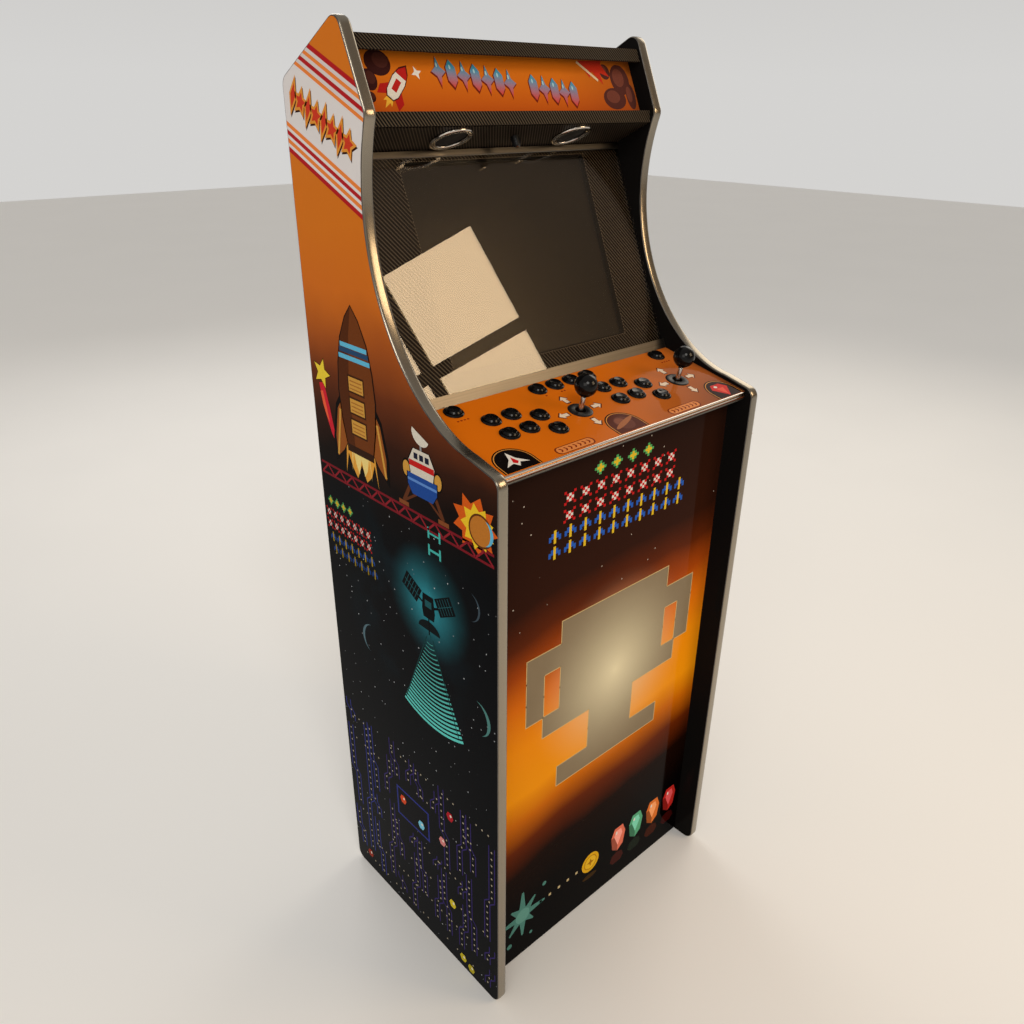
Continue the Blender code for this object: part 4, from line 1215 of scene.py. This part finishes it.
def make_plungers():
    """Domed tops with a shallow finger dish."""
    profile = [(0.0, 0.0058), (0.004, 0.006), (0.007, 0.0064)]
    profile += arc((0.0088, 0.0052), 0.0014, 110, 20, 4)
    profile += arc((0.0107, 0.0036), 0.001, 60, 0, 3)
    profile += [(0.0117, 0.001), (0.0117, -0.0085), (0.0, -0.0085)]
    for side in SIDES:
        for name, (x, up) in player_buttons(side):
            plunger = Solid().turned(profile, CONTROL.place(x, up), GLOSS_BLACK)
            plunger.make(name + "_cap", "button_plastic", 40.0, [name], name)


def make_joysticks():
    """Balls, rods, dust washers and gimbals, and four switches round each foot."""
    ball = [(0.0, 0.0175), *arc((0.0, 0.0), 0.0175, 86, -70, 26), (0.0055, -0.0172),
            (0.005, -0.0178), (0.0, -0.0178)]
    shaft = [(0.0, 0.0455), (0.0032, 0.0455), (0.0036, 0.0452), (0.004, 0.044),
             (0.004, -0.006), (0.0, -0.006)]
    actuator = [(0.0, -0.0062), (0.0058, -0.0062), (0.0062, -0.0066), (0.0062, -0.0156),
                (0.0056, -0.016), (0.0, -0.016)]
    washer = [(0.0086, GAP), (0.0086, 0.0013), (0.0092, 0.0017), (0.0168, 0.0015),
              (0.019, 0.001), (0.0196, 0.0005), (0.0196, GAP)]
    yoke = [(0.0085, -0.0016), (0.0089, 0.002), (0.0131, 0.002), (0.0135, 0.0016),
            (0.0135, -0.0016), (0.0131, -0.002), (0.0089, -0.002)]
    for side, stick in JOYSTICKS.items():
        body = "joystick_" + side
        top, pivot, under, board = (CONTROL.place(stick, JOYSTICK_ROW, out)
                                    for out in (0.042, -0.022, -0.0163 - 0.036, 0.0))
        Solid().turned(ball, top, GLOSS_BLACK, 64).make(
            "joystick_knob_" + side, "button_plastic", 40.0, ["joystick_ball_" + side], body)
        rod = Solid().turned(shaft, pivot, STEEL, 40).turned(actuator, pivot, WHITE_PLASTIC, 32)
        rod.make("joystick_rod_" + side, "steel", 40.0, ["joystick_shaft_" + side], body)
        Solid().turned(washer, board, SATIN_BLACK, 64, closed=True).make(
            "washer_disc_" + side, "black_plastic", 40.0, ["dust_washer_" + side])
        Solid().turned(yoke, pivot, SATIN_BLACK, 48, closed=True).make(
            "joystick_gimbal_" + side, "black_plastic", 40.0, ["joystick_yoke_" + side],
            "joystick_pivot_" + side)
        switches = Solid()
        for quarter in range(4):
            turn = under @ Matrix.Rotation(quarter * math.pi / 2, 4, "Z")
            reach = 0.0385 if quarter % 2 else 0.0305
            switches.box((reach, -0.01, 0.006), (reach + 0.0065, 0.01, 0.017), turn, SATIN_BLACK)
            for shift in (-0.006, 0.0, 0.006):
                switches.box((reach + 0.002, shift - 0.0016, -0.0005),
                             (reach + 0.0026, shift + 0.0016, 0.006), turn, BRASS)
        switches.make("joystick_switches_" + side, "black_plastic", 30.0, bevel=0.0003)


def make_control_trim():
    """The bright strip on the board's front edge: metal lines with amber and brown between."""
    edge = Face(CONTROL.at(0, 0), -CONTROL.v, CONTROL.n, -CONTROL.u)
    lines = [(-0.0001, -0.003, 0.0026, CHROME), (-0.0031, -0.0048, 0.002, BRASS),
             (-0.0049, -0.008, 0.0032, CHROME), (-0.0081, -0.0104, 0.0021, BROWN_LINE),
             (-0.0105, -0.0136, 0.003, STRIP_METAL), (-0.0137, -0.0158, 0.0017, SATIN_BLACK)]
    strip = Solid()
    for high, low, out, mat in lines:
        middle, inset = (high + low) / 2, (high - low) / 2 * 0.35
        ridge = [(GAP, high), (out * 0.55, high), (out * 0.92, high - inset), (out, middle),
                 (out * 0.92, low + inset), (out * 0.55, low), (GAP, low)]
        strip.prism(ridge, edge.place(), -SPAN, SPAN, mat)
    strip.make("control_edge_strip", "chrome", 40.0, ["control_panel_trim"])


# Screen and speakers --------------------------------------------------------------------------
def make_screen_panel():
    """The monitor's dark panel behind the bezel's opening, in a thin metal frame."""
    place, middle = BEZEL.place(), SCREEN_MIDDLE
    panel = Solid()
    panel.box((-0.184, middle - 0.1485, -0.0092), (0.184, middle + 0.1485, -0.008), place, DISPLAY)
    for sign in (-1, 1):
        low, high = sorted((sign * 0.1841, sign * 0.1863))
        panel.box((low, middle - 0.1508, -0.0092), (high, middle + 0.1508, -0.007), place,
                  SATIN_BLACK)
        low, high = sorted((middle + sign * 0.1486, middle + sign * 0.1508))
        panel.box((-0.184, low, -0.0092), (0.184, high, -0.007), place, SATIN_BLACK)
    panel.make("display_panel", "black_plastic", 30.0, bevel=0.0003)
    low, high, wide, line = SCREEN_LOW, SCREEN_HIGH, SCREEN_HALF, 0.0008
    cut = Solid()
    for a, b, c, d in ((-wide - line, low - line, wide + line, low),
                       (-wide - line, high, wide + line, high + line),
                       (-wide - line, low, -wide, high), (wide, low, wide + line, high)):
        cut.box((a, b, 0.00003), (c, d, 0.00015), place, CUT_EDGE)
    cut.make("bezel_cut_edge", "carbon_board", 30.0)
    corners, radius = Solid(), 0.007
    round_off = [(0.0, 0.0), (radius, 0.0), *arc((radius, radius), radius, 270, 180, 6)[1:]]
    for turns, (across, up) in enumerate(rectangle(-wide, low, wide, high)):
        corner = BEZEL.place(across, up) @ Matrix.Rotation(turns * math.pi / 2, 4, "Z")
        corners.prism(round_off, corner, -0.0069, -0.0001, CARBON_BEZEL_LIGHTENED)
    corners.make("bezel_corners", "carbon_board", 30.0)


def make_monitor_back():
    """Vent slots, and a mounting plate with four bolts, on the monitor's case."""
    back = BEZEL.place(0, SCREEN_MIDDLE, -0.0093 - 0.048)
    detail = Solid()
    for i in range(12):
        low = 0.03 + i * 0.0062
        detail.box((-0.095, low, -0.0012), (0.095, low + 0.0028, 0.0), back, SATIN_BLACK)
    detail.box((-0.06, -0.085, -0.0016), (0.06, 0.01, 0.0), back, ZINC)
    bolt = [(0.0, -0.0034), (0.0026, -0.0034), (0.003, -0.0028), (0.003, -0.0016), (0.0, -0.0016)]
    for a in (-0.05, 0.05):
        for b in (-0.075, 0.0):
            detail.turned(bolt, back @ Matrix.Translation((a, b, 0)), STEEL, 16)
    detail.make("monitor_fittings", "black_plastic", 30.0)


def make_speakers():
    ring = [(0.024, GAP), (0.024, 0.0016), *arc((0.0258, 0.0024), 0.0018, 180, 60, 6),
            *arc((0.03, 0.0018), 0.0026, 130, -20, 8), (0.0323, GAP)]
    collar = [(0.0239, 0.0012), (0.0254, 0.0002), (0.0254, -0.0088), (0.0248, -0.0088),
              (0.0248, -0.0004), (0.0239, 0.0004)]
    grille = [(0.0, 0.0026)]
    grille += [(i * 0.001, 0.0026 - 0.002 * (i / 23.5) ** 2 - (0.0004 if i % 2 else 0.0))
               for i in range(1, 24)]
    grille += [(0.0237, 0.0002), (0.0, 0.0002)]
    cone = [(0.0, -0.005), (0.004, -0.0054), (0.0075, -0.0085), (0.008, -0.0092)]
    cone += [(0.008 + 0.0135 * t, -0.0092 + 0.0072 * t ** 0.8) for t in (0.25, 0.5, 0.75, 1.0)]
    cone += [(0.0225, -0.0006), (0.024, -0.0003), (0.0252, -0.001), (0.0262, 0.0),
             (0.0325, 0.0), (0.0325, -0.0022), (0.0268, -0.0024), (0.02, -0.011),
             (0.02, -0.0236), (0.0188, -0.024), (0.0, -0.024)]
    for side, sign in SIDES.items():
        place = SPEAKERS.place(sign * 0.12, SPEAKER_ROW)
        bezel = Solid().turned(ring, place, CHROME, 72, closed=True)
        bezel.turned(collar, place, MATT_BLACK, 64, closed=True)
        bezel.turned(grille, place, CONE_BLACK, 64)
        bezel.make("speaker_bezel_" + side, "chrome", 45.0, ["speaker_ring_" + side])
        driver = Solid().turned([(a, b - 0.009 - GAP) for a, b in cone], place, CONE_BLACK, 64)
        driver.make("speaker_cone_" + side, "speaker_cone", 40.0, ["speaker_driver_" + side])


def make_knob():
    """A knob with ribs round its skirt and a bright cap."""
    place = SPEAKERS.place(0.0, SPEAKER_ROW)
    skirt = [(0.0, 0.0165), (0.004, 0.0165), (0.0052, 0.0158), (0.0059, 0.0146),
             (0.0064, 0.003), (0.0066, 0.0014), (0.0062, 0.001), (0.0032, 0.001),
             (0.0032, -0.022), (0.0, -0.022)]
    cap = [(0.0, 0.0171), (0.0032, 0.017), (0.0038, 0.0166), (0.0, 0.0166)]
    rib = [(0.0056, 0.003), (0.0068, 0.003), (0.0064, 0.014), (0.0054, 0.014)]
    knob = Solid().turned(skirt, place, SATIN_BLACK, 60).turned(cap, place, CHROME, 32)
    upright = Matrix.Rotation(math.pi / 2, 4, "X")
    for i in range(20):
        turn = place @ Matrix.Rotation(math.tau * i / 20, 4, "Z")
        knob.prism(rib, turn @ upright, -0.0004, 0.0004, SATIN_BLACK)
    knob.make("volume_dial", "button_plastic", 30.0, ["volume_knob"], "volume_knob")


# Back of the cabinet --------------------------------------------------------------------------
def make_marquee_seal():
    """A foam strip that closes the slot between the marquee sheet and the top panel."""
    outline = [(0.0864, 1.5133), (0.0925, 1.5109), (0.0962, 1.5092), (0.0978, 1.503),
               (0.1034, 1.5119), (0.1022, 1.5133), (0.0996, 1.5146), (0.0962, 1.5155),
               (0.092, 1.5161), (0.088, 1.5162), (0.0871, 1.5153)]
    seal = Solid().prism(outline, SECTION.place(), -SPAN, SPAN, MATT_BLACK)
    seal.make("marquee_seal", "black_plastic", 40.0)


def screw(solid, place, radius=0.0032):
    """A pan head with a cross in it."""
    profile = [(0.0, 0.0014), (radius * 0.55, 0.0013), (radius * 0.85, 0.0009),
               (radius, 0.0002), (radius, 0.00002), (0.0, 0.00002)]
    solid.turned(profile, place, STEEL, 20)
    for a, b in ((radius * 0.55, radius * 0.12), (radius * 0.12, radius * 0.55)):
        solid.box((-a, -b, 0.00128), (a, b, 0.00146), place, SATIN_BLACK)


def make_back():
    """Panel screws, the hinge's leaf on the door, and the door's pull plate."""
    screws = Solid()
    for face, columns, rows in ((REAR, (-0.255, -0.09, 0.09, 0.255), (1.02, 1.425)),
                                (TOP, (-0.25, -0.085, 0.085, 0.25), (0.012, 0.112))):
        for across in columns:
            for up in rows:
                screw(screws, face.place(across, up))
    screws.make("panel_screws", "steel", 40.0)
    low, high, count = 0.087, 0.9385, 15
    leaf = Solid().box((-0.2612, low, 0.0), (-0.242, high, 0.0012), REAR.place(), STEEL)
    for i in range(count):
        up = low + (high - low) * (i + 0.5) / count
        screw(leaf, REAR.place(-0.2515, up, 0.0012), 0.0026)
    leaf.make("door_hinge_leaf", "steel", 30.0, body="rear_door", bevel=0.0002)
    place = REAR.place(0.06, DOOR_LOCK_UP)
    plate = capsule(0, 0, 0.016, 0.009, 0.013, 12)
    pull = Solid().prism(plate, place, 0.0, 0.0016, SATIN_BLACK)
    pull.prism(stretched(plate, 0.8, 0.7), place, 0.0016, 0.002, MATT_BLACK)
    pull.make("door_pull_plate", "black_plastic", 30.0, body="rear_door", bevel=0.0003)


def make_lock_barrel():
    """A raised ring round the lock's barrel, and the dark bottom of its keyway."""
    place = REAR.place(0.0, DOOR_LOCK_UP)
    ring = [(0.0062, 0.0029), (0.0063, 0.0033), (0.0068, 0.0035), (0.0073, 0.0033),
            (0.0074, 0.0029)]
    keyway = [(-0.0009, -0.0044), (-0.0004, -0.0049), (0.0004, -0.0049), (0.0009, -0.0044),
              (0.0009, 0.0044), (0.0004, 0.0049), (-0.0004, 0.0049), (-0.0009, 0.0044)]
    barrel = Solid().turned(ring, place, STEEL, 40, closed=True)
    barrel.prism(keyway, place, 0.001, 0.0025, SATIN_BLACK)
    barrel.make("lock_barrel", "steel", 40.0, body="door_lock")


def make_inlet_pins():
    across, up = 0.19, 1.0412
    pins = Solid()
    for a, b in ((-0.0055, -0.0015), (0.0055, -0.0015), (0.0, 0.0028)):
        pins.box((a - 0.001, b - 0.002, -0.0139), (a + 0.001, b + 0.002, -0.004),
                 REAR.place(across, up), BRASS)
    for shift in (-0.02, 0.02):
        screw(pins, REAR.place(across + shift, up, 0.0026), 0.0024)
    pins.make("inlet_pins", "steel", 30.0)


def make_computer_detail():
    """Ports and vents on the game computer, and battens round the base."""
    detail = Solid()
    floor = cabinet_point(0, 0.16, 0.0243)
    back = Face(floor + Vector((0, 0.1501, 0)), (-1, 0, 0), (0, 0, 1), (0, 1, 0)).place()
    top = Face(floor + Vector((0, 0.075, 0.0552)), (1, 0, 0), (0, 1, 0), (0, 0, 1)).place()
    for i, wide in enumerate((0.013, 0.013, 0.016, 0.03, 0.012)):
        left = -0.07 + i * 0.028
        detail.box((left, 0.012, 0.0), (left + wide, 0.02, 0.0016), back, ZINC)
        detail.box((left + 0.0015, 0.0135, 0.0016), (left + wide - 0.0015, 0.0185, 0.0018), back,
                   SATIN_BLACK)
    for i in range(9):
        left = -0.06 + i * 0.0145
        detail.box((left, -0.045, 0.0), (left + 0.005, 0.045, 0.001), top, SATIN_BLACK)
    detail.make("computer_ports", "black_plastic", 30.0, bevel=0.0002)
    battens, corner = Solid(), cabinet_point(0, 0, 0.0246)
    for sign in (-1, 1):
        low, high = sorted((sign * (INNER - 0.019), sign * (INNER - 0.0006)))
        battens.box((low, corner.y + 0.06, corner.z), (high, corner.y + 0.4, corner.z + 0.018),
                    Matrix.Identity(4), RAW_BOARD)
    battens.make("base_battens", "raw_board", 30.0, bevel=0.0006)


# Finish and bevel of each CAD node that keeps its own shape
FINISHES = {
    "side_panel_left": (SIDE_VINYL, 0), "side_panel_right": (SIDE_VINYL, 0),
    "joystick_base_left": (MATT_BLACK, 0.0008), "joystick_base_right": (MATT_BLACK, 0.0008),
    "front_panel": (FRONT_VINYL, 0), "control_panel": (CONTROL_VINYL, 0),
    "marquee_panel": (MARQUEE_PRINT, 0), "marquee_retainer_top": (CARBON_MARQUEE, 0.0006),
    "marquee_retainer_bottom": (CARBON_MARQUEE, 0.0006), "speaker_panel": (CARBON_SPEAKER, 0),
    "monitor_bezel": (CARBON_BEZEL_LIGHTENED, 0), "screen_glass": (SMOKED_GLASS, 0),
    "monitor": (MATT_BLACK, 0.0015), "glass_retainer": (STRIP_METAL, 0.0004),
    "speaker_edge_strip": (STRIP_METAL, 0), "marquee_light": (FROSTED, 0),
    "base_board": (RAW_BOARD, 0.0006), "top_panel": (BLACK_BOARD, 0.0006),
    "rear_panel": (BLACK_BOARD, 0.0006), "rear_door": (BLACK_BOARD, 0.0006),
    "door_hinge": (STEEL, 0), "door_lock": (CHROME, 0.0003),
    "power_inlet": (SATIN_BLACK, 0.0004), "game_computer": (MATT_BLACK, 0), }


def dress_frame():
    for node, (mat, bevel) in FINISHES.items():
        NODES[node].data.materials.clear()
        NODES[node].data.materials.append(mat)
        if bevel:
            soften(NODES[node], bevel)


# Stage ----------------------------------------------------------------------------------------
def make_stage():
    """A pale floor, and a sky that is darker in reflections of what is before the cabinet."""
    size = 14.0
    mesh = bpy.data.meshes.new("floor")
    corners = [(a, b, 0) for a, b in rectangle(-size, -size, size, size)]
    mesh.from_pydata(corners, [], [(0, 1, 2, 3)])
    mesh.materials.append(FLOOR)
    floor = linked("floor", mesh)
    floor.location.z = -0.0004
    world = bpy.data.worlds.new("studio")
    bpy.context.scene.world = world
    world.use_nodes = True
    nodes = Nodes(world.node_tree, "Generated")
    sky = nodes.ramp(nodes.xyz()[2], [(0.02, (0.66, 0.652, 0.638, 1.0)),
                                      (0.6, (0.39, 0.376, 0.356, 1.0))])
    ahead = nodes.add("VectorMath", nodes.coords, (0.61, -0.79, 0.0), out="Value",
                      settings={"operation": "DOT_PRODUCT"})
    plain = nodes.add("LightPath", out="Is Camera Ray")
    share = nodes.math("SUBTRACT", nodes.spread(ahead, 0.35, 0.92), plain, clamp=True)
    colour = nodes.mix(share, sky, (0.17, 0.125, 0.085, 1.0))
    nodes.feed(nodes.tree.nodes["Background"].inputs["Color"], colour)


def soft_light(name, place, target, size, power, colour):
    data = bpy.data.lights.new(name, "AREA")
    data.shape = "RECTANGLE"
    data.size, data.size_y = size
    data.energy = power
    data.color = colour
    light = linked(name, data)
    light.location = place
    light.rotation_mode = "QUATERNION"
    light.rotation_quaternion = (Vector(target) - Vector(place)).to_track_quat("-Z", "Y")
    light.visible_camera = False
    return light


def make_lights():
    sun = bpy.data.lights.new("soft_sun", "SUN")
    sun.energy = 0.9
    sun.angle = math.radians(24)
    sun.color = (1.0, 0.96, 0.9)
    linked("soft_sun", sun).rotation_euler = (math.radians(50), 0.0, math.radians(-28))
    soft_light("key", (-3.4, -2.2, 3.0), (0, 0, 0.9), (2.2, 2.2), 26, (1.0, 0.95, 0.88))
    soft_light("right", (3.4, 0.7, 2.8), (0, 0, 0.9), (1.8, 2.2), 26, (1.0, 0.9, 0.76))
    soft_light("back", (0.8, 3.4, 3.0), (0, 0, 1.0), (2.4, 2.2), 34, (1.0, 0.97, 0.93))


def make_window(camera, face, spot, degrees, reach, pane, power):
    """Four panes of a far window, placed so that they glint at a spot on a face."""
    sight = (spot - camera.matrix_world.translation).normalized()
    turn = math.radians(degrees)
    right, above = (camera.matrix_world.to_3x3().col[i] for i in (0, 1))
    across = right * math.cos(turn) - above * math.sin(turn)
    across = (across - sight * across.dot(sight)).normalized()
    rise = across.cross(sight)
    flip = Matrix.Scale(-1.0, 3, face.n)
    step = pane + 0.06
    for a in (0, 1):
        for b in (0, 1):
            away = sight * reach - across * (a * step) - rise * (b * step)
            light = soft_light("screen_pane_%d%d" % (a, b), spot + flip @ away, spot,
                               (pane, pane), power, (1.0, 0.74, 0.46))
            axes = (flip @ across, flip @ rise, flip @ sight)
            light.rotation_quaternion = Matrix(axes).transposed().to_quaternion()


def make_camera():
    """Off the cabinet's left front corner, a little below its top, and looking down at it."""
    pitch, roll = math.radians(26.225), math.radians(0.467)
    right = Vector((0.7398, -0.6728, 0.0)).normalized()
    ahead = Vector((0.6728 * math.cos(pitch), 0.7398 * math.cos(pitch), -math.sin(pitch)))
    ahead.normalize()
    up = right.cross(ahead)
    level = right * math.cos(roll) + up * math.sin(roll)
    above = up * math.cos(roll) - right * math.sin(roll)
    data = bpy.data.cameras.new("camera")
    data.sensor_width = 36.0
    data.lens = 29.595
    data.clip_start = 0.02
    camera = linked("camera", data)
    turn = Matrix((level, above, -ahead)).transposed().to_4x4()
    camera.matrix_world = Matrix.Translation((-0.9201, -0.9453, 1.4515)) @ turn
    bpy.context.scene.camera = camera
    return camera


make_lights()
make_window(make_camera(), BEZEL, BEZEL.at(-0.16, 0.134, 0.0053), -30, 2.4, 0.42, 3.8)
for make in (make_stage, dress_frame, draw_sides, draw_front, draw_control, draw_marquee,
             make_edge_trims, make_button_rims, make_plungers, make_joysticks, make_control_trim,
             make_screen_panel, make_monitor_back, make_speakers, make_knob, make_marquee_seal,
             make_back, make_lock_barrel, make_inlet_pins, make_computer_detail):
    make()
bpy.context.scene.view_settings.view_transform = "Standard"
